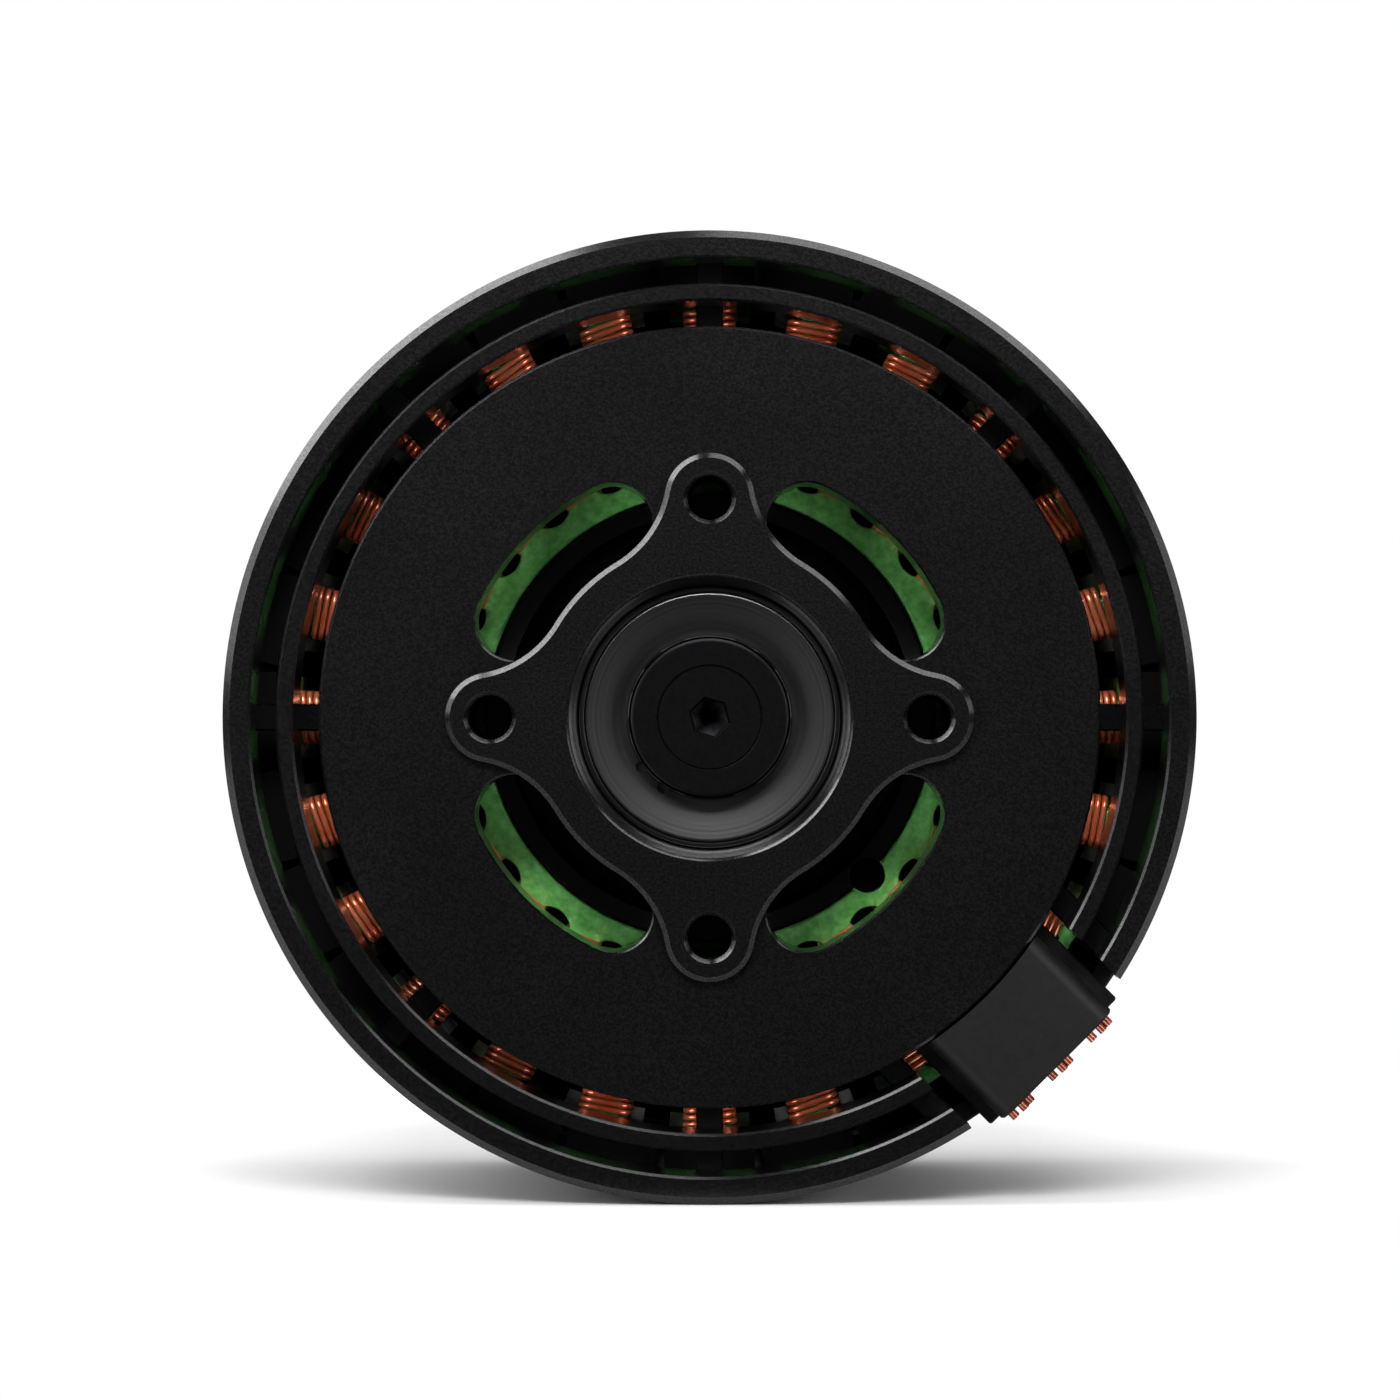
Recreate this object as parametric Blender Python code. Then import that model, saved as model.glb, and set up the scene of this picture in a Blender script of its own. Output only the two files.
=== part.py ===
"""A brushless outrunner motor for a multirotor, modelled mounting side up.

The motor stands on its propeller boss at z = 0 and its axis is the Z axis. The base, with its guard
rings, lead guard and wound stator, is held still. The bell, flux ring, shaft and shaft screw turn.
"""

import math

import bmesh
import bpy
from mathutils import Matrix

# Stator and windings
STATOR_RADIUS = 0.025
STACK_LENGTH = 0.012
TOOTH_COUNT = 24
TOOTH_WIDTH = 0.0014
SHOE_DEPTH = 0.00085
SLOT_OPENING = 0.0016
YOKE_DEPTH = 0.0012
END_TURN_RISE = 0.0017
COIL_INNER_WIDTH = 0.0024
COIL_OUTER_WIDTH = 0.0032
COIL_CORNER = 0.0007
COIL_RIDGES = 4
COIL_RIDGE_DEPTH = 0.00012
LEAD_WIDTH = 0.0018
LEAD_THICKNESS = 0.001
LEAD_SPACING = 0.00315
LEAD_STUB = 0.00064
KEY_RADIUS = 0.001
KEY_ANGLE = math.radians(315)

# Rotor
AIR_GAP = 0.0003
MAGNET_COUNT = 28
MAGNET_GAP = 0.00038
MAGNET_THICKNESS = 0.0014
MAGNET_OVERHANG = 0.0007
FLUX_RING_WALL = 0.0011
SPIGOT_HEIGHT = 0.0018
SPIGOT_WALL = 0.0016
BELL_EDGE_ROUND = 0.0026
CROWN_THICKNESS = 0.0025
CROWN_SLOT_COUNT = 12
CROWN_RIM = 0.0061
CROWN_SLOT_LENGTH = 0.0062
CROWN_SLOT_NARROW = 0.0038
CROWN_SLOT_WIDE = 0.005
PROP_BOSS_RADIUS = 0.0095
PROP_BOSS_RISE = 0.002
PROP_HOLE_CIRCLE = 0.012
PROP_HOLE_DIAMETER = 0.0025
PROP_HOLE_DEPTH = 0.0034
COLLAR_RADIUS = 0.006
SHAFT_DIAMETER = 0.006
SHAFT_BORE = 0.003
SHAFT_SETBACK = 0.0003
GRUB_DIAMETER = 0.002
GRUB_LENGTH = 0.0024
WASHER_RADIUS = 0.0045
WASHER_THICKNESS = 0.0012
SCREW_HEAD_RADIUS = 0.003
SCREW_THREAD_LENGTH = 0.008
SOCKET_ACROSS_FLATS = 0.002
SOCKET_DEPTH = 0.0011
SOCKET_TURN = math.radians(44)

# Bearings
BEARING_OD = 0.015
BEARING_WIDTH = 0.005
BEARING_RECESS = 0.0015
REAR_BEARING_RECESS = 0.0005
BEARING_ROUND = 0.00016
BEARING_RING_WALL = 0.0013
SHIELD_STEP = 0.00012
SHIELD_RIM = 0.0004
HOUSING_WALL = 0.0028
HOUSING_LIP = 0.0011

# Base, disc and boss
PLATE_THICKNESS = 0.0056
EDGE_CHAMFER = 0.00015
BOSS_RISE = 0.0008
BOSS_CHAMFER = 0.00028
LUG_CIRCLE = 0.025
LOBE_RADIUS = 0.00255
BLEND_RADIUS = 0.006
LUG_DRILL = 0.00255
LUG_CHAMFER = 0.00023
BEAN_OUTER_RADIUS = 0.0147
BEAN_HALF_ANGLE = math.radians(18.6)
BORE_MOUTH = 0.00068
CARRIER_RADIUS = 0.01306
CARRIER_WALL = 0.0014
SHOULDER_GAP = 0.00051
TROUGH_FLOOR = 0.0015

# Guard rings, spokes and lead guard
GUARD_GAP = 0.00145
MID_RING_WALL = 0.001
GUARD_RING_WALL = 0.0016
GUARD_RING_CHAMFER = 0.00043
RING_HEIGHT = 0.0046
SPOKE_WIDTH = 0.00155
SPOKE_THICKNESS = 0.0011
NOTCH_WIDTH = 0.012
LEAD_ANGLE = math.radians(315)
BLOCK_WIDTH = 0.0088
BLOCK_FLANGE_WIDTH = 0.0103
BLOCK_FLANGE_HEIGHT = 0.001
BLOCK_ROUND = 0.0009
BLOCK_OVERHANG = 0.0003
TONGUE_WIDTH = 0.006
TONGUE_LENGTH = 0.002
TONGUE_HEIGHT = 0.0014

# Clearances
FIT = 0.00005
SEAT = 0.0001
REST = 0.0003
COIL_CLEARANCE = 0.0004
CROWN_SPACE = 0.0051
HUB_CLEARANCE = 0.0038
UNDERCUT = 0.00015

# Heights, from the propeller boss upward
CROWN_TOP = PROP_BOSS_RISE + CROWN_THICKNESS
COIL_BOTTOM = CROWN_TOP + CROWN_SPACE
STACK_BOTTOM = COIL_BOTTOM + END_TURN_RISE
STACK_TOP = STACK_BOTTOM + STACK_LENGTH
PLATE_BOTTOM = STACK_TOP + END_TURN_RISE + COIL_CLEARANCE
PLATE_TOP = PLATE_BOTTOM + PLATE_THICKNESS
HEIGHT = PLATE_TOP + BOSS_RISE
RING_BOTTOM = PLATE_TOP - RING_HEIGHT
SHOULDER_BOTTOM = STACK_TOP + REST
CARRIER_BOTTOM = STACK_BOTTOM - REST
HUB_BOTTOM = CROWN_TOP + HUB_CLEARANCE
FRONT_BEARING_TOP = HEIGHT - BEARING_RECESS
FRONT_BEARING_BOTTOM = FRONT_BEARING_TOP - BEARING_WIDTH
REAR_BEARING_BOTTOM = HUB_BOTTOM + REAR_BEARING_RECESS
REAR_BEARING_TOP = REAR_BEARING_BOTTOM + BEARING_WIDTH
SHAFT_TOP = FRONT_BEARING_TOP - SEAT

# Radii that follow from the sizes above
BORE_RADIUS = CARRIER_RADIUS + FIT
SLOT_BOTTOM_RADIUS = BORE_RADIUS + YOKE_DEPTH
COIL_INNER_RADIUS = SLOT_BOTTOM_RADIUS + COIL_CLEARANCE
SHOULDER_RADIUS = COIL_INNER_RADIUS - SHOULDER_GAP
SHOE_INNER_RADIUS = STATOR_RADIUS - SHOE_DEPTH
MAGNET_FACE_RADIUS = STATOR_RADIUS + AIR_GAP
FLUX_INNER_RADIUS = MAGNET_FACE_RADIUS + MAGNET_THICKNESS
MAGNET_WIDTH = math.tau * MAGNET_FACE_RADIUS / MAGNET_COUNT - MAGNET_GAP
BELL_RADIUS = FLUX_INNER_RADIUS + FLUX_RING_WALL
GUARD_RING_OUTER = BELL_RADIUS
GUARD_RING_INNER = GUARD_RING_OUTER - GUARD_RING_WALL
MID_RING_OUTER = GUARD_RING_INNER - GUARD_GAP
MID_RING_INNER = MID_RING_OUTER - MID_RING_WALL
PLATE_RADIUS = MID_RING_INNER - GUARD_GAP
BLOCK_REACH = GUARD_RING_OUTER + BLOCK_OVERHANG
CROWN_SLOT_OUTER = BELL_RADIUS - CROWN_RIM
CROWN_SLOT_INNER = CROWN_SLOT_OUTER - CROWN_SLOT_LENGTH
BOSS_RADIUS = BEARING_OD / 2 + HOUSING_WALL
BEAN_INNER_RADIUS = BOSS_RADIUS - UNDERCUT
TROUGH_INNER = BEAN_INNER_RADIUS - UNDERCUT
SHAFT_RADIUS = SHAFT_DIAMETER / 2
SHAFT_HOLE = SHAFT_RADIUS + FIT

RING_STEPS = 40
DISC_STEPS = 40
SMALL_STEPS = 20
LUG_STEPS = 12


def clear_scene():
    for old in list(bpy.data.objects):
        bpy.data.objects.remove(old, do_unlink=True)


def material(name, colour, roughness, metallic):
    surface = bpy.data.materials.new(name)
    surface.use_nodes = True
    shader = surface.node_tree.nodes["Principled BSDF"]
    shader.inputs["Base Color"].default_value = (*colour, 1.0)
    shader.inputs["Roughness"].default_value = roughness
    shader.inputs["Metallic"].default_value = metallic
    return surface


def solid(name, bm, surface, parent=None):
    """Turns a bmesh into a smooth-shaded object whose sharp edges stay sharp."""
    bmesh.ops.recalc_face_normals(bm, faces=bm.faces)
    mesh = bpy.data.meshes.new(name)
    bm.to_mesh(mesh)
    bm.free()
    mesh.shade_smooth()
    mesh.set_sharp_from_angle(angle=math.radians(30))
    if surface:
        mesh.materials.append(surface)
    made = bpy.data.objects.new(name, mesh)
    made.parent = parent
    bpy.context.scene.collection.objects.link(made)
    return made


def helper(name, bm):
    made = solid(name, bm, None)
    made.hide_render = True
    made.display_type = "WIRE"
    return made


def shape_with(target, operation, helpers):
    """Cuts the helpers from the target, or joins them to it, one Boolean for each."""
    for other in helpers:
        step = target.modifiers.new(other.name, "BOOLEAN")
        step.operation = operation
        step.solver = "EXACT"
        step.object = other


def revolve(profile, steps, closed=True):
    """Turns (radius, z) points about the Z axis. An open profile starts and ends on the axis."""
    bm = bmesh.new()
    verts = [bm.verts.new((radius, 0, z)) for radius, z in profile]
    edges = [bm.edges.new(pair) for pair in zip(verts, verts[1:])]
    if closed:
        edges.append(bm.edges.new((verts[-1], verts[0])))
    bmesh.ops.spin(
        bm,
        geom=verts + edges,
        cent=(0, 0, 0),
        axis=(0, 0, 1),
        angle=math.tau,
        steps=steps,
        use_merge=True,
    )
    bmesh.ops.remove_doubles(bm, verts=bm.verts, dist=1e-7)
    return bm


def prism(outline, low, high, chamfer=0.0):
    """Extrudes an outline in XY from low to high, with its upper edges chamfered."""
    bm = bmesh.new()
    bottom = bm.faces.new([bm.verts.new((x, y, low)) for x, y in outline])
    grown = bmesh.ops.extrude_face_region(bm, geom=[bottom])["geom"]
    raised = [item for item in grown if isinstance(item, bmesh.types.BMVert)]
    bmesh.ops.translate(bm, verts=raised, vec=(0, 0, high - low))
    if chamfer:
        top = [e for e in bm.edges if all(v.co.z > (low + high) / 2 for v in e.verts)]
        bmesh.ops.bevel(bm, geom=top, offset=chamfer, segments=1, affect="EDGES")
    return bm


def prism_along_x(outline, start, end):
    """Extrudes an outline in YZ along X."""
    bm = prism(outline, start, end)
    bmesh.ops.transform(bm, matrix=Matrix(((0, 0, 1), (1, 0, 0), (0, 1, 0))).to_4x4(), verts=bm.verts)
    return bm


def arc(centre_x, centre_y, radius, start, end, count):
    """Points on an arc, both ends included."""
    angles = [start + (end - start) * i / (count - 1) for i in range(count)]
    return [(centre_x + radius * math.cos(a), centre_y + radius * math.sin(a)) for a in angles]


def turned_outline(points, angle):
    c, s = math.cos(angle), math.sin(angle)
    return [(x * c - y * s, x * s + y * c) for x, y in points]


def box_outline(x_low, x_high, width):
    return [(x_low, -width / 2), (x_high, -width / 2), (x_high, width / 2), (x_low, width / 2)]


def stadium(width, height, mid_y, mid_z, count=5):
    """A flat oval outline, wider than it is high."""
    flat = (width - height) / 2
    right = arc(mid_y + flat, mid_z, height / 2, -math.pi / 2, math.pi / 2, count)
    left = arc(mid_y - flat, mid_z, height / 2, math.pi / 2, 3 * math.pi / 2, count)
    return right + left


def boss_outline():
    """A round boss with a lobe round each mounting hole, blended into it by a hollow curve."""
    reach = LUG_CIRCLE / 2
    to_blend = BOSS_RADIUS + BLEND_RADIUS
    cosine = (to_blend**2 + reach**2 - (LOBE_RADIUS + BLEND_RADIUS) ** 2) / (2 * to_blend * reach)
    blend_angle = math.acos(cosine)
    blend_x = to_blend * math.cos(blend_angle)
    blend_y = to_blend * math.sin(blend_angle)
    lobe_angle = math.atan2(blend_y, blend_x - reach)
    quarter = arc(reach, 0, LOBE_RADIUS, -lobe_angle, lobe_angle, 7)
    quarter += arc(blend_x, blend_y, BLEND_RADIUS, lobe_angle - math.pi, blend_angle - math.pi, 4)[1:]
    quarter += arc(0, 0, BOSS_RADIUS, blend_angle, math.pi / 2 - blend_angle, 4)[1:]
    back = arc(blend_y, blend_x, BLEND_RADIUS, -math.pi / 2 - blend_angle, -math.pi / 2 - lobe_angle, 4)
    quarter += back[1:-1]
    return [p for turn in range(4) for p in turned_outline(quarter, turn * math.pi / 2)]


def bean_outline(angle):
    """A slot that follows the mounting circle, with full round ends."""
    middle = (BEAN_INNER_RADIUS + BEAN_OUTER_RADIUS) / 2
    end = (BEAN_OUTER_RADIUS - BEAN_INNER_RADIUS) / 2
    points = arc(0, 0, BEAN_OUTER_RADIUS, -BEAN_HALF_ANGLE, BEAN_HALF_ANGLE, 5)
    tip = turned_outline([(middle, 0)], BEAN_HALF_ANGLE)[0]
    points += arc(*tip, end, BEAN_HALF_ANGLE, BEAN_HALF_ANGLE + math.pi, 5)[1:-1]
    points += arc(0, 0, BEAN_INNER_RADIUS, BEAN_HALF_ANGLE, -BEAN_HALF_ANGLE, 5)
    tip = turned_outline([(middle, 0)], -BEAN_HALF_ANGLE)[0]
    points += arc(*tip, end, math.pi - BEAN_HALF_ANGLE, math.tau - BEAN_HALF_ANGLE, 5)[1:-1]
    return turned_outline(points, angle)


def ring_profile(inner, outer, low, high, outer_chamfer):
    return [
        (inner, low),
        (outer, low),
        (outer, high - outer_chamfer),
        (outer - outer_chamfer, high),
        (inner, high),
    ]


def mount_base(surface, parent):
    """Disc, cross boss, bearing hub, stator carrier and guard rings, machined from one piece."""
    hub_profile = [
        (0, HUB_BOTTOM),
        (BOSS_RADIUS - BORE_MOUTH, HUB_BOTTOM),
        (BOSS_RADIUS, HUB_BOTTOM + BORE_MOUTH),
        (BOSS_RADIUS, CARRIER_BOTTOM),
        (CARRIER_RADIUS, CARRIER_BOTTOM),
        (CARRIER_RADIUS, SHOULDER_BOTTOM),
        (SHOULDER_RADIUS, SHOULDER_BOTTOM),
        (SHOULDER_RADIUS, PLATE_BOTTOM),
        (PLATE_RADIUS, PLATE_BOTTOM),
        (PLATE_RADIUS, PLATE_TOP - EDGE_CHAMFER),
        (PLATE_RADIUS - EDGE_CHAMFER, PLATE_TOP),
        (0, PLATE_TOP),
    ]
    base = solid("mount_base", revolve(hub_profile, DISC_STEPS, closed=False), surface, parent)
    above = HEIGHT + REST
    beans = [
        helper(f"bean_cutter_{i}", prism(bean_outline((i + 0.5) * math.pi / 2), SHOULDER_BOTTOM, above))
        for i in range(4)
    ]
    shape_with(base, "DIFFERENCE", beans)
    boss_foot = PLATE_BOTTOM + BOSS_RISE
    boss = helper("boss", prism(boss_outline(), boss_foot, HEIGHT, BOSS_CHAMFER))
    shape_with(base, "UNION", [boss])
    shape_with(base, "DIFFERENCE", [bearing_cutter(), trough_cutter(), key_cutter()])
    shape_with(base, "DIFFERENCE", lug_cutters() + [tongue_cutter()])
    shape_with(base, "UNION", guard_rings())
    return base


def bearing_cutter():
    seat = BEARING_OD / 2 + FIT
    lip = BEARING_OD / 2 - HOUSING_LIP
    mouth = BEARING_OD / 2 + BORE_MOUTH
    profile = [
        (0, HUB_BOTTOM - REST),
        (seat, HUB_BOTTOM - REST),
        (seat, REAR_BEARING_TOP + SEAT),
        (lip, REAR_BEARING_TOP + SEAT),
        (lip, FRONT_BEARING_BOTTOM - SEAT),
        (seat, FRONT_BEARING_BOTTOM - SEAT),
        (seat, FRONT_BEARING_TOP),
        (mouth, HEIGHT),
        (mouth, HEIGHT + REST),
        (0, HEIGHT + REST),
    ]
    return helper("bearing_cutter", revolve(profile, SMALL_STEPS, closed=False))


def trough_cutter():
    """The ring of space between the bearing hub and the stator carrier."""
    outer = CARRIER_RADIUS - CARRIER_WALL
    low = CARRIER_BOTTOM + TROUGH_FLOOR
    profile = [(TROUGH_INNER, low), (outer, low), (outer, PLATE_BOTTOM), (TROUGH_INNER, PLATE_BOTTOM)]
    return helper("trough_cutter", revolve(profile, DISC_STEPS))


def key_cutter():
    place = turned_outline([(CARRIER_RADIUS, 0)], KEY_ANGLE)[0]
    outline = arc(*place, KEY_RADIUS + FIT, 0, math.tau, 13)[:-1]
    return helper("carrier_keyway_cutter", prism(outline, CARRIER_BOTTOM - REST, SHOULDER_BOTTOM + REST))


def lug_cutters():
    """Four threaded mounting holes, each with a chamfered mouth."""
    drill = LUG_DRILL / 2
    low = SHOULDER_BOTTOM - SEAT
    profile = [
        (0, low),
        (drill, low),
        (drill, HEIGHT - LUG_CHAMFER),
        (drill + LUG_CHAMFER, HEIGHT),
        (drill + LUG_CHAMFER, HEIGHT + REST),
        (0, HEIGHT + REST),
    ]
    cutters = []
    for i in range(4):
        cutter = helper(f"lug_cutter_{i}", revolve(profile, LUG_STEPS, closed=False))
        x, y = turned_outline([(LUG_CIRCLE / 2, 0)], i * math.pi / 2)[0]
        cutter.location = (x, y, 0)
        cutters.append(cutter)
    return cutters


def tongue_low():
    """Height of the lead guard's tongue, midway up the disc's edge."""
    return (PLATE_BOTTOM + PLATE_TOP - TONGUE_HEIGHT) / 2


def tongue_cutter():
    inner = PLATE_RADIUS - TONGUE_LENGTH - SEAT
    outline = box_outline(inner, PLATE_RADIUS + SEAT, TONGUE_WIDTH + 2 * SEAT)
    pocket = prism(outline, tongue_low() - SEAT, tongue_low() + TONGUE_HEIGHT + SEAT)
    cutter = helper("tongue_cutter", pocket)
    cutter.rotation_euler.z = LEAD_ANGLE
    return cutter


def guard_rings():
    """The two open rings and their spokes, without the lead notch: each piece ends at the notch's sides."""
    mid = ring_profile(MID_RING_INNER, MID_RING_OUTER, RING_BOTTOM, PLATE_TOP, EDGE_CHAMFER)
    outer = ring_profile(GUARD_RING_INNER, GUARD_RING_OUTER, RING_BOTTOM, PLATE_TOP, GUARD_RING_CHAMFER)
    rings = [
        helper("mid_ring", revolve(mid, RING_STEPS)),
        helper("guard_ring", revolve(outer, RING_STEPS)),
    ]
    notch_outline = box_outline(PLATE_RADIUS + EDGE_CHAMFER, GUARD_RING_OUTER + REST, NOTCH_WIDTH)
    notch = helper("notch_cutter", prism(notch_outline, RING_BOTTOM - REST, PLATE_TOP + REST))
    notch.rotation_euler.z = LEAD_ANGLE
    for ring in rings:
        shape_with(ring, "DIFFERENCE", [notch])
    return rings + spokes()


def spokes():
    low = RING_BOTTOM + SEAT
    high = low + SPOKE_THICKNESS
    start = PLATE_RADIUS - GUARD_GAP
    end = GUARD_RING_INNER + GUARD_RING_WALL / 2
    made = []
    for i in range(7):
        spoke = helper(f"spoke_{i}", prism(box_outline(start, end, SPOKE_WIDTH), low, high))
        spoke.rotation_euler.z = i * math.pi / 4
        made.append(spoke)
    side = NOTCH_WIDTH / 2 + SPOKE_WIDTH / 2 + FIT
    inner = math.sqrt(start**2 - side**2)
    outer = math.sqrt(end**2 - side**2)
    for i, offset in enumerate((side, -side)):
        outline = [(x, y + offset) for x, y in box_outline(inner, outer, SPOKE_WIDTH)]
        spoke = helper(f"notch_spoke_{i}", prism(outline, low, high))
        spoke.rotation_euler.z = LEAD_ANGLE
        made.append(spoke)
    return made


def lead_height():
    """Height of the leads' centre as they leave the guard's end."""
    return RING_BOTTOM + RING_HEIGHT / 2


def lead_bend():
    """Radius at which the leads come up out of the windings."""
    return MID_RING_INNER + FIT


def lead_guard(surface, parent):
    """The block that fills the notch, cored out below, with a flat oval bore for each lead."""
    half = BLOCK_WIDTH / 2
    flange = BLOCK_FLANGE_WIDTH / 2
    step = RING_BOTTOM + BLOCK_FLANGE_HEIGHT
    centre = half - BLOCK_ROUND
    top = PLATE_TOP - BLOCK_ROUND
    outline = [(-flange, RING_BOTTOM), (flange, RING_BOTTOM), (flange, step), (half, step)]
    outline += arc(centre, top, BLOCK_ROUND, 0, math.pi / 2, 5)
    outline += arc(-centre, top, BLOCK_ROUND, math.pi / 2, math.pi, 5)
    outline += [(-half, step), (-flange, step)]
    body = prism_along_x(outline, PLATE_RADIUS - GUARD_GAP, BLOCK_REACH)
    block = solid("lead_guard", body, surface, parent)
    block.rotation_euler.z = LEAD_ANGLE
    disc_edge = PLATE_RADIUS + SEAT
    edge = [(0, PLATE_BOTTOM), (disc_edge, PLATE_BOTTOM), (disc_edge, HEIGHT), (0, HEIGHT)]
    disc = helper("disc_edge_cutter", revolve(edge, DISC_STEPS, closed=False))
    shape_with(block, "DIFFERENCE", [disc])
    tongue_root = PLATE_RADIUS + TONGUE_HEIGHT / 2
    tongue_outline = box_outline(PLATE_RADIUS - TONGUE_LENGTH, tongue_root, TONGUE_WIDTH)
    tongue = helper("tongue", prism(tongue_outline, tongue_low(), tongue_low() + TONGUE_HEIGHT))
    tongue.rotation_euler.z = LEAD_ANGLE
    shape_with(block, "UNION", [tongue])
    pocket_start = lead_bend() - SEAT
    pocket_end = lead_bend() + 2 * LEAD_THICKNESS
    pocket_width = 2 * LEAD_SPACING + LEAD_WIDTH + 2 * SEAT
    pocket_top = lead_height() + LEAD_THICKNESS
    pocket_outline = box_outline(pocket_start, pocket_end, pocket_width)
    pocket = helper("lead_pocket_cutter", prism(pocket_outline, RING_BOTTOM - REST, pocket_top))
    bores = [
        helper(
            f"lead_bore_cutter_{i}",
            prism_along_x(
                stadium(LEAD_WIDTH + 2 * SEAT, LEAD_THICKNESS + 2 * SEAT, i * LEAD_SPACING, lead_height()),
                pocket_end - SEAT,
                BLOCK_REACH + REST,
            ),
        )
        for i in (-1, 0, 1)
    ]
    for cutter in [pocket] + bores:
        cutter.rotation_euler.z = LEAD_ANGLE
    shape_with(block, "DIFFERENCE", [pocket] + bores)
    return block


def phase_lead(name, offset, surface, parent):
    """A flat bundle of winding wire that rises from the coils, bends and leaves through the guard."""
    half = LEAD_THICKNESS / 2
    rise = lead_bend() + half
    low = STACK_TOP + END_TURN_RISE + REST
    level = lead_height()
    corner = LEAD_THICKNESS
    path = [(rise, low, 0.0)]
    for step in range(4):
        turn = step * math.pi / 6
        x = rise + corner * (1 - math.cos(turn))
        z = level - corner * (1 - math.sin(turn))
        path.append((x, z, turn))
    path.append((BLOCK_REACH + LEAD_STUB, level, math.pi / 2))
    bm = bmesh.new()
    loops = []
    for x, z, turn in path:
        section = stadium(LEAD_WIDTH, LEAD_THICKNESS, offset, 0)
        loops.append([bm.verts.new((x - n * math.cos(turn), y, z + n * math.sin(turn))) for y, n in section])
    skin(bm, loops, closed=False)
    lead = solid(name, bm, surface, parent)
    lead.rotation_euler.z = LEAD_ANGLE
    return lead


def skin(bm, loops, closed):
    """Joins point loops by quads, end to start when closed, or with a face over each end."""
    pairs = list(zip(loops, loops[1:]))
    if closed:
        pairs.append((loops[-1], loops[0]))
    else:
        bm.faces.new(loops[0])
        bm.faces.new(loops[-1])
    for one, two in pairs:
        for i in range(len(one)):
            j = (i + 1) % len(one)
            bm.faces.new((one[i], one[j], two[j], two[i]))


def tooth_outline():
    """Half a slot, a tooth with its shoe, and the next half slot, with the tooth along +X."""
    pitch = math.pi / TOOTH_COUNT
    neck = TOOTH_WIDTH / 2
    sine = math.sin(pitch)
    slot_centre = (SLOT_BOTTOM_RADIUS - neck) / (1 - sine)
    slot_radius = slot_centre * sine - neck
    centre = turned_outline([(slot_centre, 0)], pitch)[0]
    shoe_angle = pitch - SLOT_OPENING / 2 / STATOR_RADIUS
    half = arc(*centre, slot_radius, pitch + math.pi, math.pi * 1.5, 3)
    half.append((SHOE_INNER_RADIUS, neck))
    half.append(turned_outline([(SHOE_INNER_RADIUS, 0)], shoe_angle)[0])
    half += arc(0, 0, STATOR_RADIUS, shoe_angle, 0, 2)[:-1]
    other = [(x, -y) for x, y in half]
    return other[1:] + [(STATOR_RADIUS, 0)] + half[::-1]


def stator_core(surface, parent):
    outline = []
    for i in range(TOOTH_COUNT):
        outline += turned_outline(tooth_outline(), i * math.tau / TOOTH_COUNT)
    core = solid("stator_core", prism(outline, STACK_BOTTOM, STACK_TOP), surface, parent)
    bore = [(0, STACK_BOTTOM - REST), (BORE_RADIUS, STACK_BOTTOM - REST), (BORE_RADIUS, HEIGHT), (0, HEIGHT)]
    place = turned_outline([(BORE_RADIUS, 0)], KEY_ANGLE)[0]
    keyway = prism(arc(*place, KEY_RADIUS + FIT, 0, math.tau, 13)[:-1], STACK_BOTTOM - REST, HEIGHT)
    cutters = [
        helper("stator_bore_cutter", revolve(bore, DISC_STEPS, closed=False)),
        helper("stator_keyway_cutter", keyway),
    ]
    shape_with(core, "DIFFERENCE", cutters)
    return core


def coil_loop(half_width, half_height, corner):
    """Eight points round a tooth: an oblong in YZ with its corners cut."""
    y, z = half_width, half_height
    quarter = [(y, z - corner), (y - corner, z)]
    return (
        quarter
        + [(-a, b) for a, b in reversed(quarter)]
        + [(-a, -b) for a, b in quarter]
        + [(a, -b) for a, b in reversed(quarter)]
    )


def coil_mesh(surface):
    """One coil in the frame of its tooth, with the tooth along +X and its ridges across it."""
    start = COIL_INNER_RADIUS
    end = SHOE_INNER_RADIUS - REST
    middle = (STACK_BOTTOM + STACK_TOP) / 2
    rise = STACK_LENGTH / 2 + END_TURN_RISE
    hole = TOOTH_WIDTH / 2 + FIT
    hole_rise = STACK_LENGTH / 2 + FIT
    flare = COIL_INNER_WIDTH / 2 - COIL_RIDGE_DEPTH - FIT
    bm = bmesh.new()
    loops = []
    last = 2 * COIL_RIDGES
    for step in range(last + 1):
        share = step / last
        dip = COIL_RIDGE_DEPTH if step % 2 == 0 else 0.0
        width = COIL_INNER_WIDTH + (COIL_OUTER_WIDTH - COIL_INNER_WIDTH) * share
        points = coil_loop(width / 2 - dip / 2, rise - dip, COIL_CORNER)
        loops.append([bm.verts.new((start + (end - start) * share, y, middle + z)) for y, z in points])
    for x, half in ((end, hole), (start + COIL_OUTER_WIDTH / 4, hole), (start, flare)):
        points = coil_loop(half, hole_rise, FIT)
        loops.append([bm.verts.new((x, y, middle + z)) for y, z in points])
    skin(bm, loops, closed=True)
    pattern = solid("coil_pattern", bm, surface)
    mesh = pattern.data
    bpy.data.objects.remove(pattern, do_unlink=True)
    return mesh


def windings(surface, parent):
    mesh = coil_mesh(surface)
    for i in range(TOOTH_COUNT):
        coil = bpy.data.objects.new(f"coil_{i + 1:02d}", mesh)
        coil.parent = parent
        coil.rotation_euler.z = i * math.tau / TOOTH_COUNT
        bpy.context.scene.collection.objects.link(coil)


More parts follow.
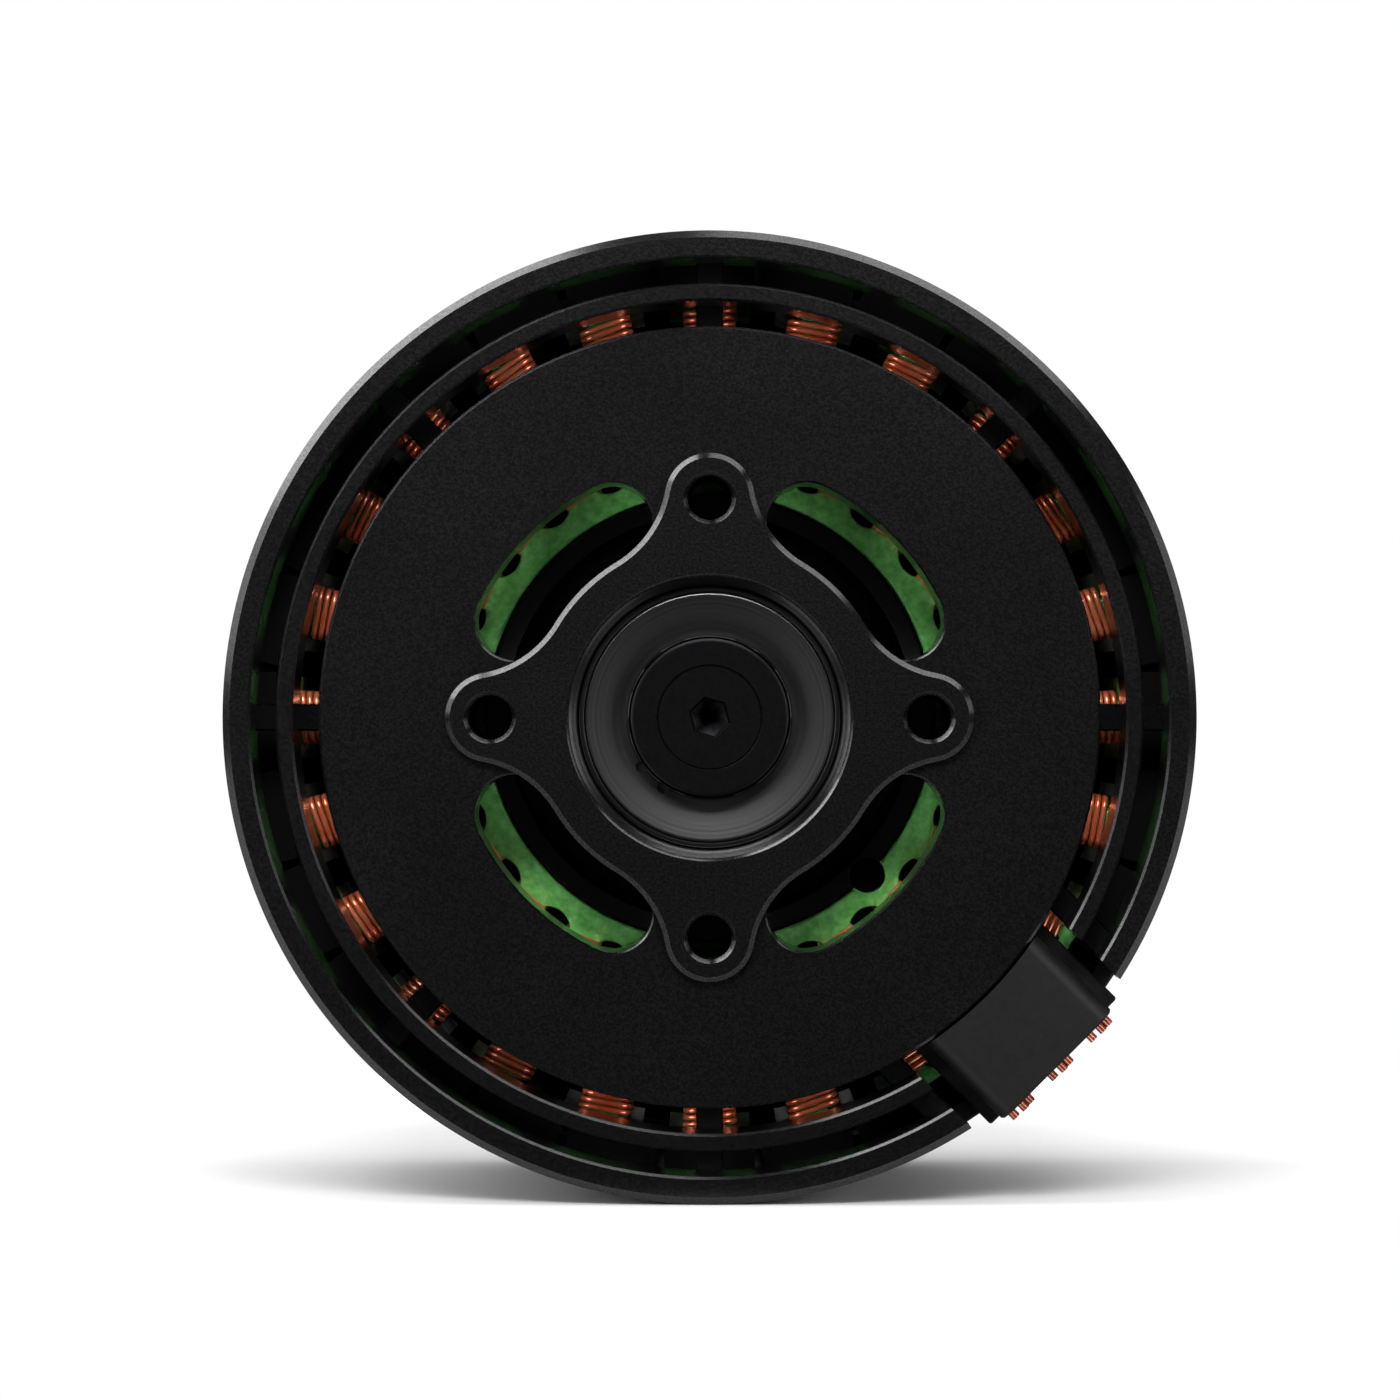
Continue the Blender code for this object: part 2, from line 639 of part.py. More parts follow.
def stator_key(surface, parent):
    """The pin that stops the stator turning on its carrier, just below the stator's face."""
    outline = arc(0, 0, KEY_RADIUS, 0, math.tau, 13)[:-1]
    pin = prism(outline, STACK_BOTTOM + REST, STACK_TOP - END_TURN_RISE)
    key = solid("stator_key", pin, surface, parent)
    x, y = turned_outline([((CARRIER_RADIUS + BORE_RADIUS) / 2, 0)], KEY_ANGLE)[0]
    key.location = (x, y, 0)
    return key


def bearing(side, low, steel, parent_outer, parent_inner):
    """A shielded ball bearing: the outer ring with its shields, and the inner ring on the shaft."""
    high = low + BEARING_WIDTH
    outer = BEARING_OD / 2
    inner_ring_outer = SHAFT_HOLE + BEARING_RING_WALL
    shield_inner = inner_ring_outer + REST
    shield_outer = outer - SHIELD_RIM
    profile = [
        (shield_inner, low + SHIELD_STEP),
        (shield_outer, low + SHIELD_STEP),
        (shield_outer, low),
        (outer - BEARING_ROUND, low),
        (outer, low + BEARING_ROUND),
        (outer, high - BEARING_ROUND),
        (outer - BEARING_ROUND, high),
        (shield_outer, high),
        (shield_outer, high - SHIELD_STEP),
        (shield_inner, high - SHIELD_STEP),
    ]
    solid(f"{side}_bearing_outer", revolve(profile, SMALL_STEPS), steel, parent_outer)
    inner = [(SHAFT_HOLE, low), (inner_ring_outer, low), (inner_ring_outer, high), (SHAFT_HOLE, high)]
    solid(f"{side}_bearing_inner", revolve(inner, SMALL_STEPS), steel, parent_inner)


def rotor_bell(surface, parent):
    """The crown with its propeller boss, shaft collar and the spigot that carries the flux ring."""
    spigot = FLUX_INNER_RADIUS - SEAT
    spigot_inner = spigot - SPIGOT_WALL
    seat = CROWN_TOP + BELL_EDGE_ROUND + REST
    collar_top = REAR_BEARING_BOTTOM - REST
    profile = [
        (SHAFT_HOLE, 0),
        (PROP_BOSS_RADIUS - BOSS_CHAMFER, 0),
        (PROP_BOSS_RADIUS, BOSS_CHAMFER),
        (PROP_BOSS_RADIUS, PROP_BOSS_RISE),
    ]
    edge = BELL_RADIUS - BELL_EDGE_ROUND
    profile += arc(edge, PROP_BOSS_RISE + BELL_EDGE_ROUND, BELL_EDGE_ROUND, -math.pi / 2, 0, 4)
    profile += [
        (BELL_RADIUS, seat),
        (spigot, seat),
        (spigot, seat + SPIGOT_HEIGHT),
        (spigot_inner, seat + SPIGOT_HEIGHT),
        (spigot_inner, CROWN_TOP + SPIGOT_WALL),
        (spigot_inner - SPIGOT_WALL, CROWN_TOP),
        (COLLAR_RADIUS, CROWN_TOP),
        (COLLAR_RADIUS, collar_top),
        (SHAFT_HOLE, collar_top),
    ]
    bell = solid("rotor_bell", revolve(profile, DISC_STEPS), surface, parent)
    shape_with(bell, "DIFFERENCE", crown_slot_cutters() + prop_hole_cutters() + grub_cutters())
    return bell


def crown_slot_cutters():
    """Cooling slots that widen outward, each the hull of a small and a larger circle."""
    small = CROWN_SLOT_NARROW / 2
    large = CROWN_SLOT_WIDE / 2
    inner = CROWN_SLOT_INNER + small
    outer = CROWN_SLOT_OUTER - large
    lean = math.asin((large - small) / (outer - inner))
    side = math.pi / 2 + lean
    outline = arc(outer, 0, large, -side, side, 5) + arc(inner, 0, small, side, math.tau - side, 4)
    cutters = []
    for i in range(CROWN_SLOT_COUNT):
        cutter = helper(f"crown_slot_cutter_{i}", prism(outline, PROP_BOSS_RISE - REST, CROWN_TOP + REST))
        cutter.rotation_euler.z = (i + 0.5) * math.tau / CROWN_SLOT_COUNT
        cutters.append(cutter)
    return cutters


def prop_hole_cutters():
    outline = arc(PROP_HOLE_CIRCLE / 2, 0, PROP_HOLE_DIAMETER / 2, 0, math.tau, 13)[:-1]
    cutters = []
    for i in range(4):
        cutter = helper(f"prop_hole_cutter_{i}", prism(outline, -REST, PROP_HOLE_DEPTH))
        cutter.rotation_euler.z = i * math.pi / 2
        cutters.append(cutter)
    return cutters


def grub_height():
    return (CROWN_TOP + REAR_BEARING_BOTTOM - REST) / 2


def grub_cutters():
    outline = arc(0, grub_height(), GRUB_DIAMETER / 2 + FIT, 0, math.tau, 11)[:-1]
    cutters = []
    for i in range(2):
        cutter = helper(f"grub_cutter_{i}", prism_along_x(outline, SHAFT_RADIUS, COLLAR_RADIUS + REST))
        cutter.rotation_euler.z = i * math.pi / 2
        cutters.append(cutter)
    return cutters


def grub_screws(surface, parent):
    start = SHAFT_RADIUS + SEAT
    outline = arc(0, grub_height(), GRUB_DIAMETER / 2, 0, math.tau, 11)[:-1]
    for i in range(2):
        body = prism_along_x(outline, start, start + GRUB_LENGTH)
        grub = solid(f"grub_screw_{i + 1}", body, surface, parent)
        grub.rotation_euler.z = i * math.pi / 2


def magnet_ring(surface, parent):
    """The steel flux ring with its magnets bonded inside: each magnet is a flat-faced block."""
    low = CROWN_TOP + BELL_EDGE_ROUND + 2 * REST
    high = RING_BOTTOM - REST
    levels = [low, STACK_BOTTOM - MAGNET_OVERHANG, STACK_TOP + MAGNET_OVERHANG, high]
    half = math.asin(MAGNET_WIDTH / 2 / FLUX_INNER_RADIUS)
    bm = bmesh.new()
    outer, inner, face = [], [], []
    for i in range(MAGNET_COUNT):
        middle = i * math.tau / MAGNET_COUNT
        for angle in (middle - half, middle, middle + half):
            for column, radius in ((outer, BELL_RADIUS), (inner, FLUX_INNER_RADIUS)):
                x, y = turned_outline([(radius, 0)], angle)[0]
                column.append([bm.verts.new((x, y, z)) for z in levels])
        for y in (-MAGNET_WIDTH / 2, 0, MAGNET_WIDTH / 2):
            x, across = turned_outline([(MAGNET_FACE_RADIUS, y)], middle)[0]
            face.append([bm.verts.new((x, across, z)) for z in levels[1:3]])
    count = len(outer)
    for i in range(count):
        j = (i + 1) % count
        behind_magnet = i % 3 != 2
        for k in range(3):
            bm.faces.new((outer[i][k], outer[j][k], outer[j][k + 1], outer[i][k + 1]))
            if k != 1 or not behind_magnet:
                bm.faces.new((inner[j][k], inner[i][k], inner[i][k + 1], inner[j][k + 1]))
        bm.faces.new((outer[i][3], outer[j][3], inner[j][3], inner[i][3]))
        bm.faces.new((outer[j][0], outer[i][0], inner[i][0], inner[j][0]))
        if behind_magnet:
            bm.faces.new((face[j][0], face[i][0], face[i][1], face[j][1]))
            bm.faces.new((inner[i][1], inner[j][1], face[j][0], face[i][0]))
            bm.faces.new((inner[j][2], inner[i][2], face[i][1], face[j][1]))
        if i % 3 != 1:
            bm.faces.new((inner[i][1], face[i][0], face[i][1], inner[i][2]))
    return solid("magnet_ring", bm, surface, parent)


def shaft(surface, parent):
    bore = SHAFT_BORE / 2
    countersink = 4 * SEAT
    profile = [
        (bore, SHAFT_SETBACK),
        (SHAFT_RADIUS - BOSS_CHAMFER, SHAFT_SETBACK),
        (SHAFT_RADIUS, SHAFT_SETBACK + BOSS_CHAMFER),
        (SHAFT_RADIUS, SHAFT_TOP - EDGE_CHAMFER),
        (SHAFT_RADIUS - EDGE_CHAMFER, SHAFT_TOP),
        (bore + countersink, SHAFT_TOP),
        (bore, SHAFT_TOP - countersink),
    ]
    return solid("shaft", revolve(profile, SMALL_STEPS), surface, parent)


def inner_spacer(surface, parent):
    """The tube that holds the two inner rings apart."""
    low = REAR_BEARING_TOP + SEAT
    high = FRONT_BEARING_BOTTOM - SEAT
    outer = SHAFT_HOLE + BEARING_RING_WALL / 2
    profile = [(SHAFT_HOLE, low), (outer, low), (outer, high), (SHAFT_HOLE, high)]
    return solid("inner_spacer", revolve(profile, SMALL_STEPS), surface, parent)


def shaft_fastening(black, parent):
    """The washer on the front inner ring and the countersunk socket screw that draws it down."""
    thread_radius = SHAFT_BORE / 2 - SEAT
    low = FRONT_BEARING_TOP + SEAT
    high = low + WASHER_THICKNESS
    profile = [
        (SCREW_HEAD_RADIUS - WASHER_THICKNESS, low),
        (WASHER_RADIUS, low),
        (WASHER_RADIUS, high - EDGE_CHAMFER),
        (WASHER_RADIUS - EDGE_CHAMFER, high),
        (SCREW_HEAD_RADIUS, high),
    ]
    solid("shaft_washer", revolve(profile, SMALL_STEPS), black, parent)
    head_rim = SCREW_HEAD_RADIUS - SEAT
    head_top = high - FIT / 2
    cone_end = head_top - (head_rim - thread_radius)
    profile = [
        (0, cone_end - SCREW_THREAD_LENGTH),
        (thread_radius, cone_end - SCREW_THREAD_LENGTH),
        (thread_radius, cone_end),
        (head_rim, head_top),
        (0, head_top),
    ]
    screw = solid("shaft_screw", revolve(profile, SMALL_STEPS, closed=False), black, parent)
    corner = SOCKET_ACROSS_FLATS / math.sqrt(3)
    outline = turned_outline(arc(0, 0, corner, 0, math.tau, 7)[:-1], SOCKET_TURN)
    socket = helper("socket_cutter", prism(outline, head_top - SOCKET_DEPTH, head_top + REST))
    shape_with(screw, "DIFFERENCE", [socket])


def main():
    clear_scene()
    black_anodised = material("black anodised aluminium", (0.012, 0.012, 0.013), 0.42, 0.6)
    guard_black = material("black moulded guard", (0.02, 0.02, 0.021), 0.5, 0.0)
    green_epoxy = material("green epoxy", (0.03, 0.13, 0.03), 0.35, 0.0)
    copper = material("enamelled copper", (0.68, 0.16, 0.05), 0.3, 0.9)
    steel = material("bearing steel", (0.35, 0.35, 0.36), 0.28, 1.0)
    flux_steel = material("blackened steel", (0.02, 0.02, 0.022), 0.4, 0.8)
    fastener_black = material("black oxide screw", (0.015, 0.015, 0.016), 0.38, 0.7)

    held = bpy.data.objects.new("held_side", None)
    turning = bpy.data.objects.new("turning_side", None)
    for frame in (held, turning):
        bpy.context.scene.collection.objects.link(frame)

    mount_base(black_anodised, held)
    lead_guard(guard_black, held)
    for name, side in (("lead_a", -1), ("lead_b", 0), ("lead_c", 1)):
        phase_lead(name, side * LEAD_SPACING, copper, held)
    stator_core(green_epoxy, held)
    stator_key(steel, held)
    windings(copper, held)
    bearing("front", FRONT_BEARING_BOTTOM, steel, held, turning)
    bearing("rear", REAR_BEARING_BOTTOM, steel, held, turning)

    rotor_bell(black_anodised, turning)
    magnet_ring(flux_steel, turning)
    shaft(steel, turning)
    inner_spacer(steel, turning)
    grub_screws(fastener_black, turning)
    shaft_fastening(fastener_black, turning)


main()
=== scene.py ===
"""A brushless outrunner motor, seen square to its mounting face from about 280 mm away.

The motor stands on its propeller boss. Its axis is Z, and the mounting face, with the cross boss, looks up.
"""

import math

import bmesh
import bpy
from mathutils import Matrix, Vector


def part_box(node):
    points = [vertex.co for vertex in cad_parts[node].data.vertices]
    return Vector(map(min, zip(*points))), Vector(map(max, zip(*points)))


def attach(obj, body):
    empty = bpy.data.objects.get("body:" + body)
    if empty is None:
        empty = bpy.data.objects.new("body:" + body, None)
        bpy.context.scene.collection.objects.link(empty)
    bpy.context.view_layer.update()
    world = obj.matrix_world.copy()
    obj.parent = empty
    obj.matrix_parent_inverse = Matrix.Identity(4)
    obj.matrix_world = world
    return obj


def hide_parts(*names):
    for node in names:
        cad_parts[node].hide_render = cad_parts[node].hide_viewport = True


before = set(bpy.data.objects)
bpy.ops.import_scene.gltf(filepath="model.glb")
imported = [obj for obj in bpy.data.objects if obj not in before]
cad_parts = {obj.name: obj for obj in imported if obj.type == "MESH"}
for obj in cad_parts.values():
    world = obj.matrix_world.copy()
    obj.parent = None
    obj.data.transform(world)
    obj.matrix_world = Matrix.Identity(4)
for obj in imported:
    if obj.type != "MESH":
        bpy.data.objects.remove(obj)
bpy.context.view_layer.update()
MM = 0.001

# The photographer's camera
# A tripod camera straight above the motor, on its axis, with the motor a little right of and below the middle
# of the frame. The mounting face is 79.5 mm wide across the frame.
mounting_face_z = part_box("mount_base")[1][2]
camera_distance = 280 * MM
frame_width = 79.545 * MM
photo_pixels = 1400
camera_data = bpy.data.cameras.new("photo camera")
camera_data.sensor_width = 36
camera_data.lens = camera_data.sensor_width * camera_distance / frame_width
camera_data.shift_x = -9.6 / photo_pixels
camera_data.shift_y = 17.4 / photo_pixels
camera_data.clip_start = 10 * MM
camera = bpy.data.objects.new("photo camera", camera_data)
camera.location = (0, 0, mounting_face_z + camera_distance)
bpy.context.scene.collection.objects.link(camera)
bpy.context.scene.camera = camera
bpy.context.scene.view_settings.view_transform = "Standard"


# The mounting base
# One piece turned and milled from aluminium bar: a thick disc with a raised cross boss, the bearing hub and
# stator carrier under it, and two thin guard rings on short spokes. Bead blasted, then anodised black.
def turned(points, angle):
    """Outline points turned about the motor's axis."""
    c, s = math.cos(angle), math.sin(angle)
    return [(x * c - y * s, x * s + y * c) for x, y in points]


def arc(centre, radius, start, end, count):
    """Points on an arc, both ends included."""
    angles = [start + (end - start) * i / (count - 1) for i in range(count)]
    return [(centre[0] + radius * math.cos(a), centre[1] + radius * math.sin(a)) for a in angles]


def polar(radius, degrees):
    """The point at a radius and an angle in degrees."""
    return (radius * math.cos(math.radians(degrees)), radius * math.sin(math.radians(degrees)))


def grown(points, distance):
    """A counter-clockwise outline moved outward by a distance."""
    moved = []
    for i, (x, y) in enumerate(points):
        before, after = Vector(points[i - 1]), Vector(points[(i + 1) % len(points)])
        along = (after - before).normalized()
        moved.append((x + along.y * distance, y - along.x * distance))
    return moved


def linked(name, data):
    """A new object in the scene, at the origin."""
    made = bpy.data.objects.new(name, data)
    bpy.context.scene.collection.objects.link(made)
    return made


def smoothed(mesh, sharp_degrees=32):
    """Shades a mesh smooth, but for the edges that turn more sharply than this."""
    mesh.shade_smooth()
    mesh.set_sharp_from_angle(angle=math.radians(sharp_degrees))


def piece_from(name, bm):
    """A smooth-shaded object from a bmesh, with its faces turned outward."""
    bmesh.ops.recalc_face_normals(bm, faces=bm.faces)
    mesh = bpy.data.meshes.new(name)
    bm.to_mesh(mesh)
    bm.free()
    smoothed(mesh)
    return linked(name, mesh)


def lathe(profile, steps, closed=True):
    """Turns (radius, z) points about the axis. An open profile starts and ends on the axis."""
    bm = bmesh.new()
    verts = [bm.verts.new((radius, 0, z)) for radius, z in profile]
    edges = [bm.edges.new(pair) for pair in zip(verts, verts[1:])]
    if closed:
        edges.append(bm.edges.new((verts[-1], verts[0])))
    bmesh.ops.spin(bm, geom=verts + edges, axis=(0, 0, 1), angle=math.tau, steps=steps, use_merge=True)
    bmesh.ops.remove_doubles(bm, verts=bm.verts, dist=1e-7)
    return bm


def lathed(name, profile, steps, closed=True):
    """A piece turned from one profile."""
    return piece_from(name, lathe(profile, steps, closed))


def add_loops(bm, loops):
    """Closed skin through point loops of equal length, capped at both ends."""
    rings = [[bm.verts.new(point) for point in loop] for loop in loops]
    bm.faces.new(rings[0][::-1])
    bm.faces.new(rings[-1])
    for one, two in zip(rings, rings[1:]):
        for i in range(len(one)):
            j = (i + 1) % len(one)
            bm.faces.new((one[i], one[j], two[j], two[i]))


def milled(outlines, levels):
    """Solids with upright walls, one for each outline, that grow outward by the level's second number."""
    bm = bmesh.new()
    for outline in outlines:
        add_loops(bm, [[(x, y, z) for x, y in grown(outline, out)] for z, out in levels])
    return bm


def joined(shapes):
    """One bmesh that holds several, which it frees."""
    whole = bmesh.new()
    for shape in shapes:
        scrap = bpy.data.meshes.new("scrap")
        shape.to_mesh(scrap)
        whole.from_mesh(scrap)
        shape.free()
        bpy.data.meshes.remove(scrap)
    return whole


def finished(piece, steps):
    """Applies Booleans, each an operation and its tool, clears the tools away and leaves a plain mesh."""
    for operation, tool in steps:
        step = piece.modifiers.new(tool.name, "BOOLEAN")
        step.operation = operation
        step.solver = "EXACT"
        step.object = tool
    graph = bpy.context.evaluated_depsgraph_get()
    mesh = bpy.data.meshes.new_from_object(piece.evaluated_get(graph))
    piece.modifiers.clear()
    piece.data = mesh
    smoothed(mesh)
    for _, tool in steps:
        bpy.data.objects.remove(tool, do_unlink=True)


disc_radius = 22.3 * MM
disc_thickness = 5.6 * MM
boss_rise = 0.8 * MM
boss_radius = 10.3 * MM
lobe_radius = 2.55 * MM
blend_radius = 6 * MM
screw_circle = 12.5 * MM
boss_chamfer = 0.28 * MM
edge_chamfer = 0.15 * MM
bean_outer = 14.7 * MM
bean_inner = boss_radius - 0.15 * MM
bean_half_angle = math.radians(18.6)
carrier_radius = 13.06 * MM
carrier_inner = 11.66 * MM
shoulder_radius = 14.2 * MM
base_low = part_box("mount_base")[0]
stack_low, stack_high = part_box("stator_core")
disc_top = mounting_face_z - boss_rise
disc_bottom = disc_top - disc_thickness
shoulder_bottom = stack_high[2] + 0.3 * MM
carrier_bottom = stack_low[2] - 0.3 * MM
bearing_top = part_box("front_bearing_outer")[1][2]
bearing_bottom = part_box("front_bearing_outer")[0][2]
rear_bearing_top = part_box("rear_bearing_outer")[1][2]
bearing_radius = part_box("front_bearing_outer")[1][0]
bore_mouth = 0.68 * MM
housing_lip = 1.1 * MM
lead_angle = math.radians(315)
ring_height = 4.6 * MM
ring_bottom = disc_top - ring_height
guard_gap = 1.45 * MM
mid_ring_inner = disc_radius + guard_gap
mid_ring_outer = mid_ring_inner + 1.0 * MM
guard_ring_inner = mid_ring_outer + guard_gap
guard_ring_outer = guard_ring_inner + 1.6 * MM
guard_chamfer = 0.43 * MM
spoke_width = 1.55 * MM
notch_half = 6 * MM
bearing_fit = 0.03 * MM
quarter_turn = math.pi / 2
rim_steps = 240
bore_steps = 180

base = lathed(
    "mounting_base",
    [
        (0, base_low[2]),
        (boss_radius - bore_mouth, base_low[2]),
        (boss_radius, base_low[2] + bore_mouth),
        (boss_radius, carrier_bottom),
        (carrier_radius - 0.2 * MM, carrier_bottom),
        (carrier_radius, carrier_bottom + 0.2 * MM),
        (carrier_radius, shoulder_bottom),
        (shoulder_radius, shoulder_bottom),
        (shoulder_radius, disc_bottom),
        (disc_radius - edge_chamfer, disc_bottom),
        (disc_radius, disc_bottom + edge_chamfer),
        (disc_radius, disc_top - edge_chamfer),
        (disc_radius - edge_chamfer, disc_top),
        (0, disc_top),
    ],
    rim_steps,
    closed=False,
)

blend_centre_radius = boss_radius + blend_radius
blend_angle = math.acos(
    (blend_centre_radius**2 + screw_circle**2 - (lobe_radius + blend_radius) ** 2)
    / (2 * blend_centre_radius * screw_circle)
)
blend_x = blend_centre_radius * math.cos(blend_angle)
blend_y = blend_centre_radius * math.sin(blend_angle)
lobe_angle = math.atan2(blend_y, blend_x - screw_circle)
blend_steps = 14
quarter = arc((screw_circle, 0), lobe_radius, -lobe_angle, lobe_angle, 33)
quarter += arc((blend_x, blend_y), blend_radius, lobe_angle - math.pi, blend_angle - math.pi, blend_steps)[1:]
quarter += arc((0, 0), boss_radius, blend_angle, quarter_turn - blend_angle, blend_steps)[1:]
blend_start, blend_end = -quarter_turn - blend_angle, -quarter_turn - lobe_angle
quarter += arc((blend_y, blend_x), blend_radius, blend_start, blend_end, blend_steps)[1:-1]
boss_outline = [p for i in range(4) for p in turned(quarter, i * quarter_turn)]
boss_levels = [(disc_bottom + boss_rise, 0), (mounting_face_z - boss_chamfer, 0)]
boss_levels += [(mounting_face_z, -boss_chamfer)]
boss = piece_from("cross boss", milled([boss_outline], boss_levels))

bean_middle = (bean_inner + bean_outer) / 2
bean_end = (bean_outer - bean_inner) / 2
end_x, end_y = bean_middle * math.cos(bean_half_angle), bean_middle * math.sin(bean_half_angle)
bean = arc((0, 0), bean_outer, -bean_half_angle, bean_half_angle, 25)
bean += arc((end_x, end_y), bean_end, bean_half_angle, bean_half_angle + math.pi, 21)[1:-1]
bean += arc((0, 0), bean_inner, bean_half_angle, -bean_half_angle, 25)
bean += arc((end_x, -end_y), bean_end, math.pi - bean_half_angle, math.tau - bean_half_angle, 21)[1:-1]
bean_break = 0.1 * MM
bean_levels = [
    (shoulder_bottom, 0),
    (disc_top - bean_break, 0),
    (disc_top, bean_break),
    (disc_top + boss_rise, bean_break + boss_rise),
]
bean_outlines = [turned(bean, (i + 0.5) * quarter_turn) for i in range(4)]
beans = piece_from("bean cutter", milled(bean_outlines, bean_levels))

bearing_bore = lathed(
    "bearing bore cutter",
    [
        (0, base_low[2] - MM),
        (bearing_radius + bearing_fit, base_low[2] - MM),
        (bearing_radius + bearing_fit, rear_bearing_top + 0.1 * MM),
        (bearing_radius - housing_lip, rear_bearing_top + 0.1 * MM),
        (bearing_radius - housing_lip, bearing_bottom - 0.1 * MM),
        (bearing_radius + bearing_fit, bearing_bottom - 0.1 * MM),
        (bearing_radius + bearing_fit, bearing_top),
        (bearing_radius + 0.12 * MM, bearing_top + 0.25 * MM),
        (bearing_radius + 0.5 * MM, mounting_face_z - 0.16 * MM),
        (bearing_radius + 0.58 * MM, mounting_face_z - 0.1 * MM),
        (bearing_radius + bore_mouth, mounting_face_z),
        (bearing_radius + bore_mouth + MM, mounting_face_z + MM),
        (0, mounting_face_z + MM),
    ],
    bore_steps,
    closed=False,
)

# Between the hub and the carrier, a trough is turned out from above. The bean windows open into it.
trough_floor = carrier_bottom + 1.5 * MM
trough_corner = 0.25 * MM
trough = lathed(
    "trough cutter",
    [
        (bean_inner - 0.1 * MM, trough_floor),
        (carrier_inner, trough_floor),
        (carrier_inner, shoulder_bottom - trough_corner),
        (carrier_inner + trough_corner, shoulder_bottom),
        (carrier_inner + trough_corner, disc_bottom),
        (bean_inner - 0.1 * MM, disc_bottom),
    ],
    bore_steps,
)

carrier_edge = 0.18 * MM
edge_groove = lathed(
    "carrier edge cutter",
    [
        (carrier_radius - carrier_edge, shoulder_bottom),
        (carrier_radius + 0.1 * MM, shoulder_bottom),
        (carrier_radius + 0.1 * MM, shoulder_bottom - carrier_edge - 0.1 * MM),
    ],
    bore_steps,
)
keyway_radius = 1.05 * MM
keyway_outline = arc(polar(carrier_radius, 315), keyway_radius, 0, math.tau, 33)[:-1]
keyway_levels = [(carrier_bottom - MM, 0), (shoulder_bottom + MM, 0)]
keyway = piece_from("keyway cutter", milled([keyway_outline], keyway_levels))

# Each mounting hole is an M3 thread, cut as grooves half a millimetre apart.
thread_pitch = 0.5 * MM
thread_root = 1.47 * MM
thread_crest = 1.27 * MM
thread_low = shoulder_bottom - 0.1 * MM
thread_profile = [(0, thread_low), (thread_crest, thread_low)]
groove = thread_low + thread_pitch / 2
while groove < mounting_face_z - 0.6 * MM:
    thread_profile += [
        (thread_crest, groove),
        (thread_root, groove + 0.2 * MM),
        (thread_root, groove + 0.25 * MM),
        (thread_crest, groove + 0.42 * MM),
    ]
    groove += thread_pitch
hole_mouth = 1.5 * MM
thread_profile += [
    (thread_crest, mounting_face_z - (hole_mouth - thread_crest)),
    (hole_mouth, mounting_face_z),
    (hole_mouth + MM, mounting_face_z + MM),
    (0, mounting_face_z + MM),
]
threads = [lathe(thread_profile, 40, closed=False) for _ in range(4)]
for i, thread in enumerate(threads):
    bmesh.ops.translate(thread, verts=thread.verts, vec=(*polar(screw_circle, 90 * i), 0))
mounting_holes = piece_from("mounting hole cutter", joined(threads))

mid_ring = lathed(
    "mid ring",
    [
        (mid_ring_inner, ring_bottom),
        (mid_ring_outer, ring_bottom),
        (mid_ring_outer, disc_top - edge_chamfer),
        (mid_ring_outer - edge_chamfer, disc_top),
        (mid_ring_inner + edge_chamfer, disc_top),
        (mid_ring_inner, disc_top - edge_chamfer),
    ],
    rim_steps,
)
guard_ring = lathed(
    "guard ring",
    [
        (guard_ring_inner, ring_bottom),
        (guard_ring_outer, ring_bottom),
        (guard_ring_outer, disc_top - guard_chamfer),
        (guard_ring_outer - guard_chamfer, disc_top),
        (guard_ring_inner + edge_chamfer, disc_top),
        (guard_ring_inner, disc_top - edge_chamfer),
    ],
    rim_steps,
)


def bar(start, end, half_width, offset=0.0):
    """A rectangle that runs outward from the axis, between two distances from it."""
    return [
        (start, offset - half_width),
        (end, offset - half_width),
        (end, offset + half_width),
        (start, offset + half_width),
    ]


spoke_low = ring_bottom + 0.1 * MM
spoke_levels = [(spoke_low, 0), (spoke_low + 1.0 * MM, 0), (spoke_low + 1.1 * MM, -0.1 * MM)]
spoke_start = disc_radius - guard_gap
spoke_end = guard_ring_inner + 0.8 * MM
spoke_bar = bar(spoke_start, spoke_end, spoke_width / 2)
spoke_outlines = [turned(spoke_bar, i * math.pi / 4) for i in range(7)]
side = notch_half + spoke_width / 2 + 0.05 * MM
side_start = math.sqrt(spoke_start**2 - side**2)
side_end = math.sqrt(spoke_end**2 - side**2)
for offset in (side, -side):
    spoke_outlines.append(turned(bar(side_start, side_end, spoke_width / 2, offset), lead_angle))
spokes = piece_from("spokes", milled(spoke_outlines, spoke_levels))
notch_outline = turned(bar(disc_radius + edge_chamfer, guard_ring_outer + MM, notch_half), lead_angle)
notches = [
    piece_from(f"notch cutter {i}", milled([notch_outline], [(ring_bottom - MM, 0), (disc_top + MM, 0)]))
    for i in range(2)
]
finished(mid_ring, [("DIFFERENCE", notches[0])])
finished(guard_ring, [("DIFFERENCE", notches[1])])
tongue_height = 1.4 * MM
tongue_low = (disc_bottom + disc_top - tongue_height) / 2
tongue_room = turned(bar(disc_radius - 2.1 * MM, disc_radius + 0.1 * MM, 3.1 * MM), lead_angle)
tongue_room_levels = [(tongue_low - 0.1 * MM, 0), (tongue_low + 1.5 * MM, 0)]
tongue_pocket = piece_from("tongue pocket cutter", milled([tongue_room], tongue_room_levels))
